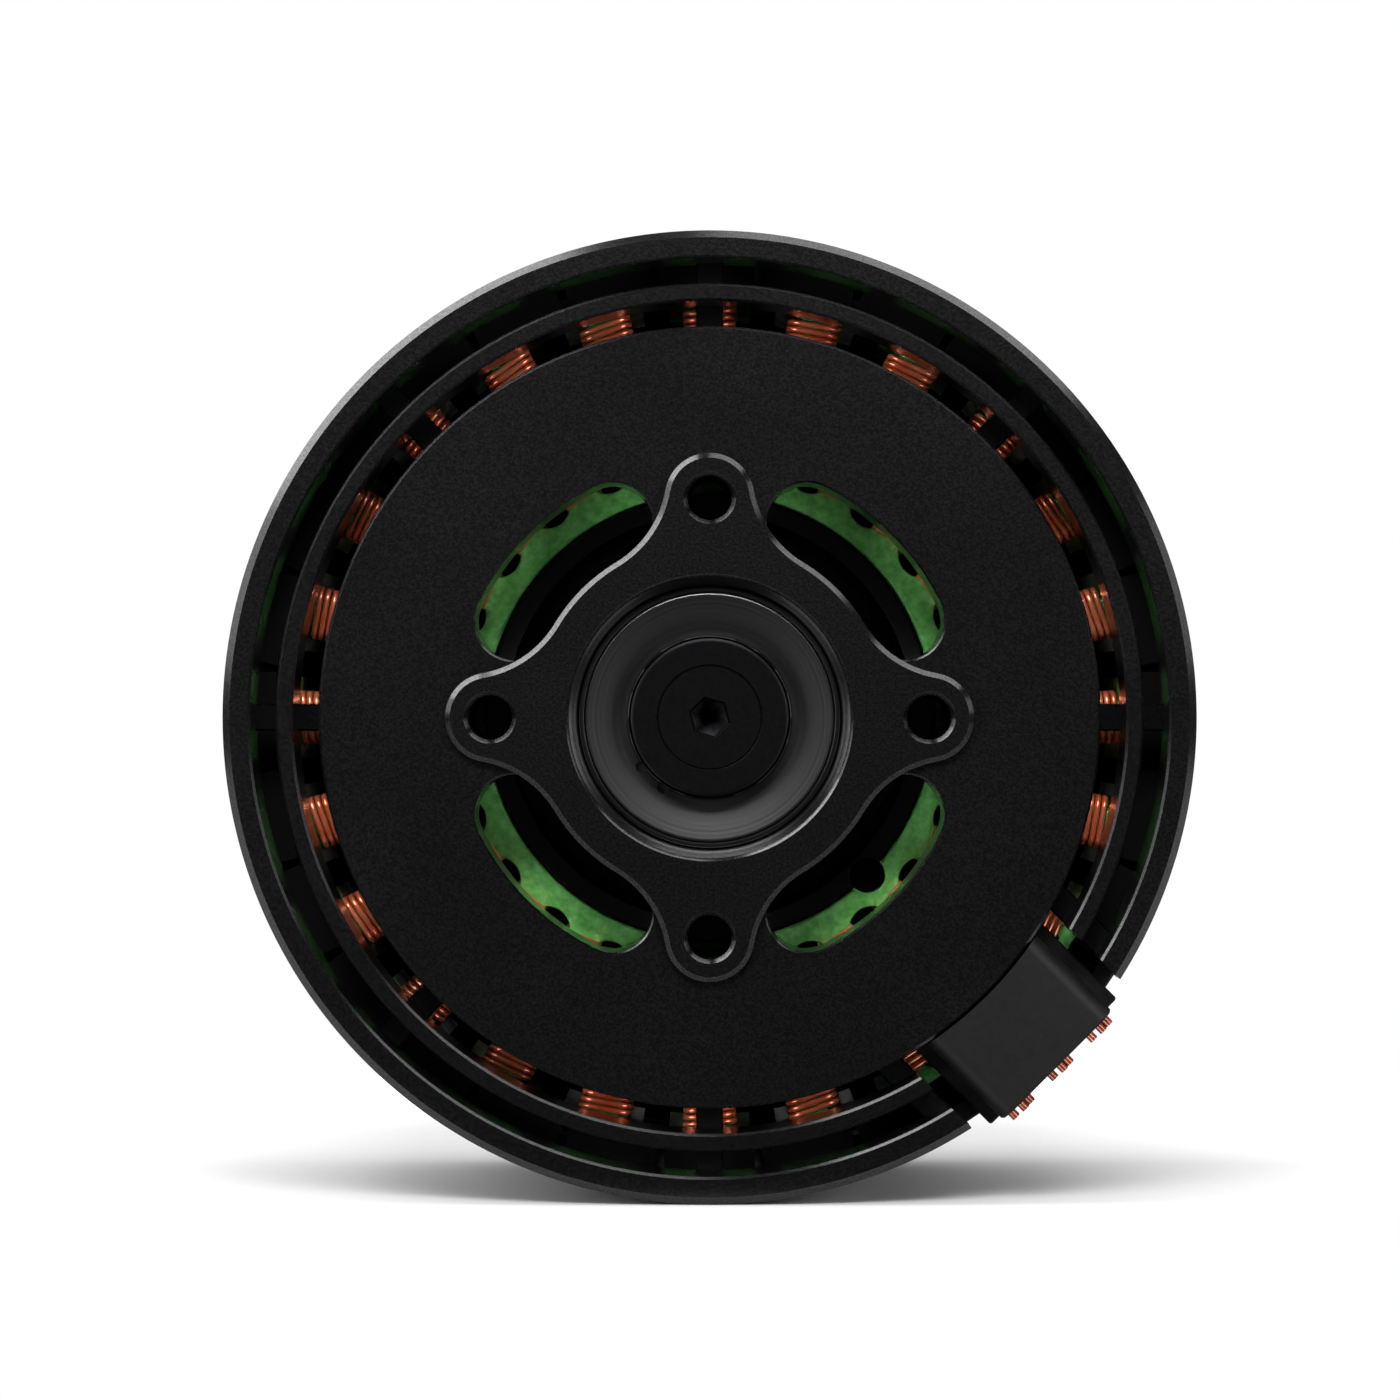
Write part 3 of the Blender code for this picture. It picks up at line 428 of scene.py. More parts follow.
finished(
    base,
    [
        ("DIFFERENCE", beans),
        ("UNION", boss),
        ("DIFFERENCE", bearing_bore),
        ("DIFFERENCE", trough),
        ("DIFFERENCE", edge_groove),
        ("DIFFERENCE", keyway),
        ("DIFFERENCE", mounting_holes),
        ("DIFFERENCE", tongue_pocket),
        ("UNION", spokes),
        ("UNION", mid_ring),
        ("UNION", guard_ring),
    ],
)


def linear(hex_colour):
    """An sRGB hex colour as the linear colour that a shader takes."""
    channels = [int(hex_colour[i : i + 2], 16) / 255 for i in (1, 3, 5)]
    return [c / 12.92 if c <= 0.04045 else ((c + 0.055) / 1.055) ** 2.4 for c in channels] + [1.0]


def add_node(tree, kind, inputs=None, feeds=None, **settings):
    """Adds a node with its settings, and sets its inputs or links them to sockets or to other nodes' first
    outputs. Its own first output goes to the socket that it feeds."""
    node = tree.nodes.new(kind)
    for key, value in settings.items():
        setattr(node, key, value)
    for key, value in (inputs or {}).items():
        if isinstance(value, bpy.types.Node):
            value = value.outputs[0]
        if isinstance(value, bpy.types.NodeSocket):
            tree.links.new(value, node.inputs[key])
        else:
            node.inputs[key].default_value = value
    if feeds is not None:
        tree.links.new(node.outputs[0], feeds)
    return node


def start_material(name, base_colour, roughness, metallic, **sockets):
    """A new material: its Principled shader with constant sockets, and its object coordinates."""
    made = bpy.data.materials.new(name)
    made.use_nodes = True
    tree = made.node_tree
    shader = tree.nodes["Principled BSDF"]
    shader.inputs["Base Color"].default_value = linear(base_colour)
    shader.inputs["Roughness"].default_value = roughness
    shader.inputs["Metallic"].default_value = metallic
    for key, value in sockets.items():
        shader.inputs[key.replace("_", " ")].default_value = value
    place = add_node(tree, "ShaderNodeTexCoord").outputs["Object"]
    return made, tree, shader, place


def cover(piece, material):
    """Gives a piece this one material."""
    piece.data.materials.clear()
    piece.data.materials.append(material)


# Bead blasting leaves pits about 0.1 mm across in the aluminium, and the black dye sits in them: a dry, very
# fine sparkle on the faces, and a slow change of gloss from rack marks and handling.
anodised, tree, shader, place = start_material(
    "black anodised aluminium, bead blasted", "#101011", 0.31, 0.96, Coat_Weight=0.7, Coat_Roughness=0.2
)
pits = add_node(tree, "ShaderNodeTexNoise", {"Vector": place, "Scale": 1 / (0.15 * MM), "Detail": 2.0})
dye = add_node(tree, "ShaderNodeValToRGB", {"Fac": pits}, shader.inputs["Base Color"])
for stop, position, tone in zip(dye.color_ramp.elements, (0.38, 0.64), ("#080809", "#18181a")):
    stop.position, stop.color = position, linear(tone)
wear = {"Value": pits, "To Min": 0.45, "To Max": 1.0}
add_node(tree, "ShaderNodeMapRange", wear, shader.inputs["Coat Weight"])
pitting = {"Height": pits, "Strength": 0.7, "Distance": 0.02 * MM}
add_node(tree, "ShaderNodeBump", pitting, shader.inputs["Normal"])
handling = add_node(tree, "ShaderNodeTexNoise", {"Vector": place, "Scale": 1 / (7 * MM), "Detail": 3.0})
gloss = {"Value": handling, "To Min": 0.26, "To Max": 0.35}
add_node(tree, "ShaderNodeMapRange", gloss, shader.inputs["Roughness"])
cover(base, anodised)
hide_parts("mount_base")
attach(base, "held_side")


# The lead guard
# A block of black glass-filled nylon that fills the notch in the rings. Its long top edges are rounded, a low
# flange runs along both sides, and the three leads leave through flat oval bores in its outer end.
block_half = 4.4 * MM
flange_half = 5.15 * MM
flange_top = ring_bottom + 1.0 * MM
flange_break = 0.1 * MM
block_round = 1.0 * MM
block_reach = 28.1 * MM
lead_spacing = 3.15 * MM
lead_level = ring_bottom + ring_height / 2
section = [(-flange_half, ring_bottom), (flange_half, ring_bottom), (flange_half, flange_top - flange_break)]
section += [(flange_half - flange_break, flange_top), (block_half, flange_top)]
section += arc((block_half - block_round, disc_top - block_round), block_round, 0, quarter_turn, 12)
section += arc((block_round - block_half, disc_top - block_round), block_round, quarter_turn, math.pi, 12)
section += [(-block_half, flange_top), (flange_break - flange_half, flange_top)]
section += [(-flange_half, flange_top - flange_break)]


def along_lead(section_points, stations):
    """Sections across the leads, at each station's distance from the axis, shrunk by its second number."""
    bm = bmesh.new()
    loops = []
    for reach, shrink in stations:
        loop = []
        for across, z in grown(section_points, -shrink):
            x, y = turned([(reach, across)], lead_angle)[0]
            loop.append((x, y, z))
        loops.append(loop)
    add_loops(bm, loops)
    return bm


block_stations = [(disc_radius - MM, 0), (block_reach - 0.12 * MM, 0), (block_reach, 0.12 * MM)]
guard_block = piece_from("lead_guard_block", along_lead(section, block_stations))
inner_end = disc_radius + 0.1 * MM
disc_profile = [(0, disc_bottom), (inner_end, disc_bottom), (inner_end, disc_top + MM), (0, disc_top + MM)]
disc_edge = lathed("disc edge cutter", disc_profile, rim_steps, closed=False)
tongue_outline = turned(bar(disc_radius - 2 * MM, disc_radius + 0.7 * MM, 3 * MM), lead_angle)
tongue_levels = [(tongue_low, 0), (tongue_low + tongue_height, 0)]
tongue = piece_from("tongue", milled([tongue_outline], tongue_levels))
pocket_start = mid_ring_inner
pocket_outline = turned(bar(pocket_start - 0.1 * MM, pocket_start + 2 * MM, 4.15 * MM), lead_angle)
pocket_levels = [(ring_bottom - MM, 0), (lead_level + MM, 0)]
pocket = piece_from("lead pocket cutter", milled([pocket_outline], pocket_levels))
bore_half_flat = 0.45 * MM
bore_radius = 0.6 * MM
bore_stations = [
    (pocket_start + MM, 0),
    (block_reach - 0.25 * MM, 0),
    (block_reach + 0.25 * MM, -0.2 * MM),
]
bores = []
for offset in (-lead_spacing, 0, lead_spacing):
    oval = arc((offset + bore_half_flat, lead_level), bore_radius, -quarter_turn, quarter_turn, 12)
    oval += arc((offset - bore_half_flat, lead_level), bore_radius, quarter_turn, 3 * quarter_turn, 12)
    bores.append(along_lead(oval, bore_stations))
lead_bores = piece_from("lead bore cutter", joined(bores))
finished(
    guard_block,
    [("DIFFERENCE", disc_edge), ("UNION", tongue), ("DIFFERENCE", pocket), ("DIFFERENCE", lead_bores)],
)

# Moulded nylon with glass fibre has a satin skin: low, uneven gloss and a faint mottle from the fibres.
nylon, tree, shader, place = start_material(
    "glass-filled nylon, moulded", "#070707", 0.42, 0.0, Specular_IOR_Level=0.1
)
mottle = add_node(tree, "ShaderNodeTexNoise", {"Vector": place, "Scale": 1 / (0.35 * MM), "Detail": 4.0})
fibres = {"Value": mottle, "To Min": 0.4, "To Max": 0.58}
add_node(tree, "ShaderNodeMapRange", fibres, shader.inputs["Roughness"])
skin = {"Height": mottle, "Strength": 0.3, "Distance": 0.02 * MM}
add_node(tree, "ShaderNodeBump", skin, shader.inputs["Normal"])
cover(guard_block, nylon)
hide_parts("lead_guard")
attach(guard_block, "held_side")


# The stator core
# Sixty thin plates of electrical steel, stacked and coated with green epoxy powder, which rounds every edge.
# Twenty-four T-shaped teeth stand out from a narrow yoke with round-bottomed slots.
tooth_count = 24
stator_radius = stack_high[0]
core_bore_radius = carrier_radius + 0.05 * MM
yoke_depth = 1.2 * MM
tooth_half = 0.7 * MM
shoe_depth = 0.85 * MM
opening_half = 0.8 * MM
shoe_inner = stator_radius - shoe_depth
slot_bottom = core_bore_radius + yoke_depth
half_pitch = math.pi / tooth_count
slot_centre_radius = (slot_bottom - tooth_half) / (1 - math.sin(half_pitch))
slot_radius = slot_centre_radius * math.sin(half_pitch) - tooth_half
slot_centre = turned([(slot_centre_radius, 0)], half_pitch)[0]
shoe_angle = half_pitch - opening_half / stator_radius
half_tooth = arc(slot_centre, slot_radius, half_pitch + math.pi, 1.5 * math.pi, 9)
half_tooth += [(shoe_inner - 0.3 * MM, tooth_half), (shoe_inner, tooth_half + 0.3 * MM)]
half_tooth += arc((0, 0), shoe_inner, 0.06, shoe_angle, 4)
half_tooth += arc((0, 0), stator_radius, shoe_angle, 0, 8)[:-1]
tooth = [(x, -y) for x, y in half_tooth][1:] + [(stator_radius, 0)] + half_tooth[::-1]
core_outline = [p for i in range(tooth_count) for p in turned(tooth, 2 * half_pitch * i)]
core_levels = [
    (stack_low[2], -0.1 * MM),
    (stack_low[2] + 0.1 * MM, 0),
    (stack_high[2] - 0.16 * MM, 0),
    (stack_high[2] - 0.05 * MM, -0.05 * MM),
    (stack_high[2], -0.16 * MM),
]
core = piece_from("green_core", milled([core_outline], core_levels))
bore_edge = 0.14 * MM
core_bore = lathed(
    "core bore cutter",
    [
        (0, stack_low[2] - MM),
        (core_bore_radius, stack_low[2] - MM),
        (core_bore_radius, stack_high[2] - bore_edge),
        (core_bore_radius + bore_edge, stack_high[2]),
        (core_bore_radius + bore_edge, stack_high[2] + MM),
        (0, stack_high[2] + MM),
    ],
    bore_steps,
    closed=False,
)
core_keyway_levels = [(stack_low[2] - MM, 0), (stack_high[2] + MM, 0)]
core_keyway = piece_from("core keyway cutter", milled([keyway_outline], core_keyway_levels))
finished(core, [("DIFFERENCE", core_bore), ("DIFFERENCE", core_keyway)])

# Fused epoxy powder is glossy with a soft orange peel. It is thinner and darker over the edges of the plates,
# which this material does not draw.
epoxy, tree, shader, place = start_material(
    "green epoxy powder coat", "#4f9e46", 0.32, 0.0, Coat_Weight=0.35, Coat_Roughness=0.18
)
peel = add_node(tree, "ShaderNodeTexNoise", {"Vector": place, "Scale": 1 / (0.5 * MM), "Detail": 3.0})
tint = add_node(tree, "ShaderNodeValToRGB", {"Fac": peel}, shader.inputs["Base Color"])
for stop, position, tone in zip(tint.color_ramp.elements, (0.3, 0.7), ("#52a64a", "#80d672")):
    stop.position, stop.color = position, linear(tone)
waves = {"Height": peel, "Strength": 0.4, "Distance": 0.05 * MM}
add_node(tree, "ShaderNodeBump", waves, shader.inputs["Normal"])
cover(core, epoxy)
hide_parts("stator_core")
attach(core, "held_side")


# The windings
# Twenty-four coils of enamelled copper wire, wound tightly round the teeth and fanning out with them. The
# wire is about 0.36 mm thick, and each coil's end turns curve down at its sides.
def geometry_group(name, lengths, counts, material):
    """A new geometry tree, with an input for each length and count and one for the material."""
    group = bpy.data.node_groups.new(name, "GeometryNodeTree")
    group.interface.new_socket("Geometry", in_out="OUTPUT", socket_type="NodeSocketGeometry")
    for names, kind in ((lengths, "Float"), (counts, "Int"), ([material], "Material")):
        for socket_name in names:
            group.interface.new_socket(socket_name, in_out="INPUT", socket_type="NodeSocket" + kind)
    return group, add_node(group, "NodeGroupInput").outputs


def round_axis(tree, count, shape):
    """Copies of a shape, turned about the axis by equal steps."""
    index = add_node(tree, "GeometryNodeInputIndex")
    step = add_node(tree, "ShaderNodeMath", {0: math.tau, 1: count}, operation="DIVIDE")
    turn = add_node(tree, "ShaderNodeMath", {0: index, 1: step}, operation="MULTIPLY")
    facing = add_node(tree, "ShaderNodeCombineXYZ", {"Z": turn})
    points = add_node(tree, "GeometryNodePoints", {"Count": count})
    copies = {"Points": points, "Instance": shape, "Rotation": facing}
    placed = add_node(tree, "GeometryNodeInstanceOnPoints", copies)
    return add_node(tree, "GeometryNodeRealizeInstances", {"Geometry": placed})


wire = 0.36 * MM
coil_low, coil_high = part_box("coil_01")
turns = 23
wound_tilt = math.radians(5)
winding_sizes = {
    "Inner Radius": coil_low[0] + wire / 2 - 0.05 * MM,
    "Pitch": (coil_high[0] - coil_low[0] - wire) / (turns - 1),
    "Inner Width": 2.4 * MM - wire,
    "Outer Width": 3.2 * MM - wire,
    "Height": coil_high[2] - coil_low[2] - wire,
    "Middle": (coil_high[2] + coil_low[2]) / 2,
    "Corner": 0.6 * MM,
    "Wire": wire / 2,
    "Looseness": 0.07 * MM,
}
winding, sizes = geometry_group("wound teeth", winding_sizes, ("Turns", "Coils"), "Enamel")
start = add_node(winding, "ShaderNodeCombineXYZ", {"X": sizes["Inner Radius"], "Z": sizes["Middle"]})
step = add_node(winding, "ShaderNodeCombineXYZ", {"X": sizes["Pitch"]})
row = add_node(
    winding, "GeometryNodeMeshLine", {"Count": sizes["Turns"], "Start Location": start, "Offset": step}
)
turn_size = {"Width": sizes["Outer Width"], "Height": sizes["Height"]}
flat_turn = add_node(winding, "GeometryNodeCurvePrimitiveQuadrilateral", turn_size)
upright = add_node(
    winding, "GeometryNodeTransform", {"Geometry": flat_turn, "Rotation": (quarter_turn, 0, quarter_turn)}
)
index = add_node(winding, "GeometryNodeInputIndex")
widths = {0: sizes["Inner Width"], 1: sizes["Outer Width"]}
narrowest = add_node(winding, "ShaderNodeMath", widths, operation="DIVIDE")
last_turn = add_node(winding, "ShaderNodeMath", {0: sizes["Turns"], 1: 1.0}, operation="SUBTRACT")
fan = add_node(
    winding,
    "ShaderNodeMapRange",
    {"Value": index, "From Max": last_turn, "To Min": narrowest, "To Max": 1.0},
)
fanned = add_node(winding, "ShaderNodeCombineXYZ", {"X": 1.0, "Y": fan, "Z": 1.0})
coil = add_node(
    winding,
    "GeometryNodeInstanceOnPoints",
    {"Points": row, "Instance": upright, "Rotation": (0, 0, wound_tilt), "Scale": fanned},
)
coil_curves = add_node(winding, "GeometryNodeRealizeInstances", {"Geometry": coil})
rounded = add_node(
    winding,
    "GeometryNodeFilletCurve",
    {"Curve": coil_curves, "Count": 3, "Radius": sizes["Corner"], "Limit Radius": True},
    mode="POLY",
)
all_curves = round_axis(winding, sizes["Coils"], rounded)
where = add_node(winding, "GeometryNodeInputPosition")
drift = add_node(winding, "ShaderNodeTexNoise", {"Vector": where, "Scale": 1 / (1.3 * MM), "Detail": 1.0})
centring = {0: drift.outputs["Color"], 1: (0.5, 0.5, 0.5)}
centred = add_node(winding, "ShaderNodeVectorMath", centring, operation="SUBTRACT")
slack = {0: centred, "Scale": sizes["Looseness"]}
small = add_node(winding, "ShaderNodeVectorMath", slack, operation="SCALE")
loosened = add_node(winding, "GeometryNodeSetPosition", {"Geometry": all_curves, "Offset": small})
wire_round = {"Resolution": 6, "Radius": sizes["Wire"]}
wire_section = add_node(winding, "GeometryNodeCurvePrimitiveCircle", wire_round)
wires = add_node(winding, "GeometryNodeCurveToMesh", {"Curve": loosened, "Profile Curve": wire_section})
smooth = add_node(winding, "GeometryNodeSetShadeSmooth", {"Geometry": wires, "Shade Smooth": True})
enamelled = add_node(winding, "GeometryNodeSetMaterial", {"Geometry": smooth, "Material": sizes["Enamel"]})
add_node(winding, "NodeGroupOutput", {"Geometry": enamelled})


def enamelled_copper(name, base_colour, thin_tint, thick_tint):
    """Clear polyester enamel over bright copper, whose tint changes slowly along the wire."""
    made, tree, shader, place = start_material(
        name, base_colour, 0.28, 0.6, Coat_Weight=0.7, Coat_Roughness=0.1
    )
    along = add_node(tree, "ShaderNodeTexNoise", {"Vector": place, "Scale": 1 / (1.6 * MM), "Detail": 2.0})
    varnish = add_node(tree, "ShaderNodeValToRGB", {"Fac": along}, shader.inputs["Base Color"])
    for stop, position, tone in zip(varnish.color_ramp.elements, (0.3, 0.72), (thick_tint, thin_tint)):
        stop.position, stop.color = position, linear(tone)
    return made


# The coils' enamel is thin: orange-red metal, pink where it catches the light, with the coat's sharper gloss.
enamel = enamelled_copper("enamelled copper wire", "#f0865a", "#ff9a70", "#f0663a")


def grown_piece(name, group, values):
    """Runs a geometry tree on an empty mesh, with its inputs set by name, and keeps a plain mesh."""
    made = linked(name, bpy.data.meshes.new(name))
    step = made.modifiers.new(name, "NODES")
    step.node_group = group
    for item in group.interface.items_tree:
        if item.in_out == "INPUT" and item.name in values:
            step[item.identifier] = values[item.name]
    made.update_tag()
    graph = bpy.context.evaluated_depsgraph_get()
    mesh = bpy.data.meshes.new_from_object(made.evaluated_get(graph))
    made.modifiers.clear()
    made.data = mesh
    return made


winding_values = {**winding_sizes, "Turns": turns, "Coils": tooth_count, "Enamel": enamel}
windings = grown_piece("windings", winding, winding_values)
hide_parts(*[f"coil_{i + 1:02d}" for i in range(tooth_count)])
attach(windings, "held_side")


# The phase leads
# Three flat bundles of copper strands rise from the coils, bend outward and leave through the guard. Each is
# cut off just outside it, so that the ends of its strands show as small round facets.
strand = 0.5 * MM
strand_places = (-0.62 * MM, 0.12 * MM, 0.62 * MM)
cut_slant = 0.08
lead_stub_end = block_reach + 0.64 * MM
lead_rise = pocket_start + 0.5 * MM
bend_radius = 1.0 * MM


def strand_route(across, height, reach):
    """Up out of the coils, round a quarter bend and straight out to the cut end."""
    points = [(lead_rise - height, coil_high[2] - 0.3 * MM)]
    for i in range(9):
        a = quarter_turn * i / 8
        x = lead_rise + bend_radius * (1 - math.cos(a)) - height * math.cos(a)
        z = lead_level - bend_radius * (1 - math.sin(a)) + height * math.sin(a)
        points.append((x, z))
    points += [(block_reach - MM, lead_level + height), (reach, lead_level + height)]
    return [Vector((*turned([(x, across)], lead_angle)[0], z)) for x, z in points]


# The leads take a browner, dimmer copy of the coils' copper: its darker tints are painted shade that makes
# them dimmer than the coils.
lead_copper_shaded_copy = enamelled_copper("lead copper with painted shade", "#94492e", "#9c5238", "#783420")
for node, offset in (("lead_a", -lead_spacing), ("lead_b", 0.0), ("lead_c", lead_spacing)):
    bundle = bpy.data.curves.new(node + "_strands", "CURVE")
    bundle.dimensions = "3D"
    bundle.bevel_depth = strand / 2
    bundle.bevel_resolution = 3
    bundle.use_fill_caps = True
    for row_height, row_shift in ((strand / 2, 0.0), (-strand / 2, 0.02 * MM)):
        for across in strand_places:
            reach = lead_stub_end - abs(across) * cut_slant
            route = strand_route(offset + across + row_shift, row_height, reach)
            spline = bundle.splines.new("POLY")
            spline.points.add(len(route) - 1)
            for point, position in zip(spline.points, route):
                point.co = (*position, 1)
    drawn = linked(node + "_curve", bundle)
    graph = bpy.context.evaluated_depsgraph_get()
    lead = linked(node + "_bundle", bpy.data.meshes.new_from_object(drawn.evaluated_get(graph)))
    bpy.data.objects.remove(drawn, do_unlink=True)
    smoothed(lead.data, sharp_degrees=50)
    cover(lead, lead_copper_shaded_copy)
    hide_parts(node)
    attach(lead, "held_side")


# The bearings
# Deep-groove ball bearings, 6 x 15 x 5 mm, with pressed steel shields. The outer ring's faces are ground and
# its corners rounded; the bare shield is dished a little and snaps into a groove round the ring.
def bearing_steel(name, tone, roughness, streak):
    """Ground or pressed steel: fine rings round the axis, cut as a bump and a change of gloss."""
    made, tree, shader, place = start_material(name, tone, roughness, 1.0)
    parts = add_node(tree, "ShaderNodeSeparateXYZ", {"Vector": place})
    squared = [
        add_node(tree, "ShaderNodeMath", {0: parts.outputs[axis], 1: 2.0}, operation="POWER")
        for axis in ("X", "Y")
    ]
    added = add_node(tree, "ShaderNodeMath", {0: squared[0], 1: squared[1]}, operation="ADD")
    radius = add_node(tree, "ShaderNodeMath", {0: added}, operation="SQRT")
    across = add_node(tree, "ShaderNodeCombineXYZ", {"X": radius})
    rings = add_node(tree, "ShaderNodeTexNoise", {"Vector": across, "Scale": 1 / streak, "Detail": 3.0})
    limits = {"Value": rings, "To Min": roughness - 0.06, "To Max": roughness + 0.08}
    add_node(tree, "ShaderNodeMapRange", limits, shader.inputs["Roughness"])
    scratches = {"Height": rings, "Strength": 0.2, "Distance": 0.004 * MM}
    add_node(tree, "ShaderNodeBump", scratches, shader.inputs["Normal"])
    return made


# The ground face mirrors the lamps along fine circles. The pressed shield is a little paler and duller.
ground_steel = bearing_steel("ground bearing steel", "#4c4c4d", 0.22, 0.09 * MM)
shield_steel = bearing_steel("pressed shield steel", "#545454", 0.24, 0.14 * MM)
corner = 0.16 * MM
groove_radius = 7.15 * MM
shield_inner = 4.62 * MM
shield_slope = 0.15
for side_name in ("front", "rear"):
    low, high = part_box(f"{side_name}_bearing_outer")
    bottom, top = low[2], high[2]
    race_profile = []
    for z, sign in ((bottom, 1), (top, -1)):
        face = [
            (groove_radius - 0.3 * MM, z + sign * 0.3 * MM),
            (groove_radius, z + sign * 0.22 * MM),
            (groove_radius + 0.03 * MM, z + sign * 0.03 * MM),
            (groove_radius + 0.07 * MM, z),
        ]
        face += [
            (bearing_radius - corner * (1 - math.sin(a)), z + sign * corner * (1 - math.cos(a)))
            for a in (i * quarter_turn / 5 for i in range(6))
        ]
        race_profile += face if sign == 1 else face[::-1]
    race = lathed(f"{side_name}_race", race_profile, 200)
    cover(race, ground_steel)
    shield_low = top - 0.05 * MM - shield_slope * (groove_radius - shield_inner - 0.16 * MM)
    sheet_profile = [
        (shield_inner, bottom + 0.12 * MM),
        (groove_radius - 0.06 * MM, bottom + 0.1 * MM),
        (groove_radius, bottom + 0.2 * MM),
        (groove_radius, top - 0.2 * MM),
        (groove_radius - 0.05 * MM, top - 0.08 * MM),
        (groove_radius - 0.12 * MM, top - 0.052 * MM),
        (groove_radius - 0.16 * MM, top - 0.05 * MM),
        (groove_radius - 0.22 * MM, top - 0.05 * MM - shield_slope * 0.06 * MM),
        (shield_inner + 0.12 * MM, shield_low + shield_slope * 0.12 * MM),
        (shield_inner + 0.06 * MM, shield_low + shield_slope * 0.06 * MM),
        (shield_inner, shield_low - 0.03 * MM),
    ]
    shield = lathed(f"{side_name}_shield", sheet_profile, 200)
    pockets = []
    for degrees in (216, 236):
        pocket_round = arc(polar(shield_inner + 0.2 * MM, degrees), 0.34 * MM, 0, math.tau, 17)[:-1]
        pocket_bm = milled([pocket_round], [(top - 0.7 * MM, 0), (top + MM, 0)])
        pockets.append(("DIFFERENCE", piece_from("shield pocket cutter", pocket_bm)))
    finished(shield, pockets)
    cover(shield, shield_steel)
    for part in (race, shield):
        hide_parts(f"{side_name}_bearing_outer")
        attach(part, "held_side")
for node in ("front_bearing_inner", "rear_bearing_inner", "inner_spacer"):
    cover(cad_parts[node], ground_steel)


# The shaft's washer and screw
# A thick black washer lies on the bearing's inner ring, and a countersunk socket screw with black oxide draws
# it down onto the shaft's end. The socket is 2 mm across its flats.
washer_low, washer_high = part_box("shaft_washer")
washer_radius = washer_high[0]
head_radius = 3.0 * MM
washer = lathed(
    "end_washer",
    [
        (head_radius - 1.2 * MM, washer_low[2]),
        (washer_radius - 0.1 * MM, washer_low[2]),
        (washer_radius, washer_low[2] + 0.1 * MM),
        (washer_radius, washer_high[2] - 0.14 * MM),
        (washer_radius - 0.04 * MM, washer_high[2] - 0.04 * MM),
        (washer_radius - 0.14 * MM, washer_high[2]),
        (washer_radius - 0.2 * MM, washer_high[2]),
        (head_radius + 0.08 * MM, washer_high[2]),
        (head_radius + 0.02 * MM, washer_high[2]),
        (head_radius - 0.02 * MM, washer_high[2] - 0.04 * MM),
    ],
    160,
)
screw_low, screw_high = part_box("shaft_screw")
head_rim = head_radius - 0.05 * MM
socket_flats = 2.0 * MM
socket_depth = 1.7 * MM
thread_half = 1.4 * MM
cone_end = screw_high[2] - (head_rim - thread_half)
screw = lathed(
    "end_screw",
    [
        (0, screw_low[2]),
        (thread_half, screw_low[2]),
        (thread_half, cone_end),
        (head_rim, screw_high[2] - 0.12 * MM),
        (head_rim, screw_high[2] - 0.05 * MM),
        (head_rim - 0.05 * MM, screw_high[2]),
        (0, screw_high[2]),
    ],
    120,
    closed=False,
)
socket_turn = math.radians(44)
hexagon = turned(arc((0, 0), socket_flats / math.sqrt(3), 0, math.tau, 7)[:-1], socket_turn)
socket = piece_from(
    "socket cutter",
    milled(
        [hexagon],
        [
            (screw_high[2] - socket_depth - 0.5 * MM, -0.95 * MM),
            (screw_high[2] - socket_depth, -0.05 * MM),
            (screw_high[2] - socket_depth, 0),
            (screw_high[2] - 0.08 * MM, 0),
            (screw_high[2] + 0.08 * MM, 0.16 * MM),
        ],
    ),
)
finished(screw, [("DIFFERENCE", socket)])

# Black oxide on hardened steel is a thin, slightly brown conversion coat, smooth and oily, over tool marks.
black_oxide, tree, shader, place = start_material("black oxide steel", "#0f0f10", 0.4, 1.0)
oil = add_node(tree, "ShaderNodeTexNoise", {"Vector": place, "Scale": 1 / (0.22 * MM), "Detail": 4.0})
oiled = {"Value": oil, "To Min": 0.34, "To Max": 0.46}
add_node(tree, "ShaderNodeMapRange", oiled, shader.inputs["Roughness"])
tooling = {"Height": oil, "Strength": 0.25, "Distance": 0.01 * MM}
add_node(tree, "ShaderNodeBump", tooling, shader.inputs["Normal"])
for part, node in ((washer, "shaft_washer"), (screw, "shaft_screw")):
    cover(part, black_oxide)
    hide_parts(node)
    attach(part, "turning_side")
# The grub screws are black oxide steel; the stator key gets the same near-black finish as painted shade, so
# that its keyway reads dark.
for node in ("grub_screw_1", "grub_screw_2", "stator_key"):
    cover(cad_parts[node], black_oxide)


# The bell
# The turning crown on the propeller side, machined and anodised like the base, with a round-cornered rim,
# twelve cooling slots, a propeller boss with four threaded holes and a collar pinched onto the shaft.
bell_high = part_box("rotor_bell")[1]
bell_radius = bell_high[0]
flux_low, flux_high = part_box("magnet_ring")
prop_rise = 2.0 * MM
prop_radius = 9.5 * MM
crown_top = prop_rise + 2.5 * MM
bell_round = 2.6 * MM
bell_edge = 0.12 * MM
spigot = 26.6 * MM
spigot_wall = 1.6 * MM
collar_radius = 6 * MM
shaft_hole = 3.05 * MM
seat_z = flux_low[2] - 0.3 * MM
collar_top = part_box("rear_bearing_inner")[0][2] - 0.3 * MM
bell_profile = [
    (shaft_hole, 0),
    (prop_radius - 0.28 * MM, 0),
    (prop_radius, 0.28 * MM),
    (prop_radius, prop_rise - 0.3 * MM),
    (prop_radius + 0.3 * MM, prop_rise),
]
bell_profile += arc((bell_radius - bell_round, prop_rise + bell_round), bell_round, -quarter_turn, 0, 14)
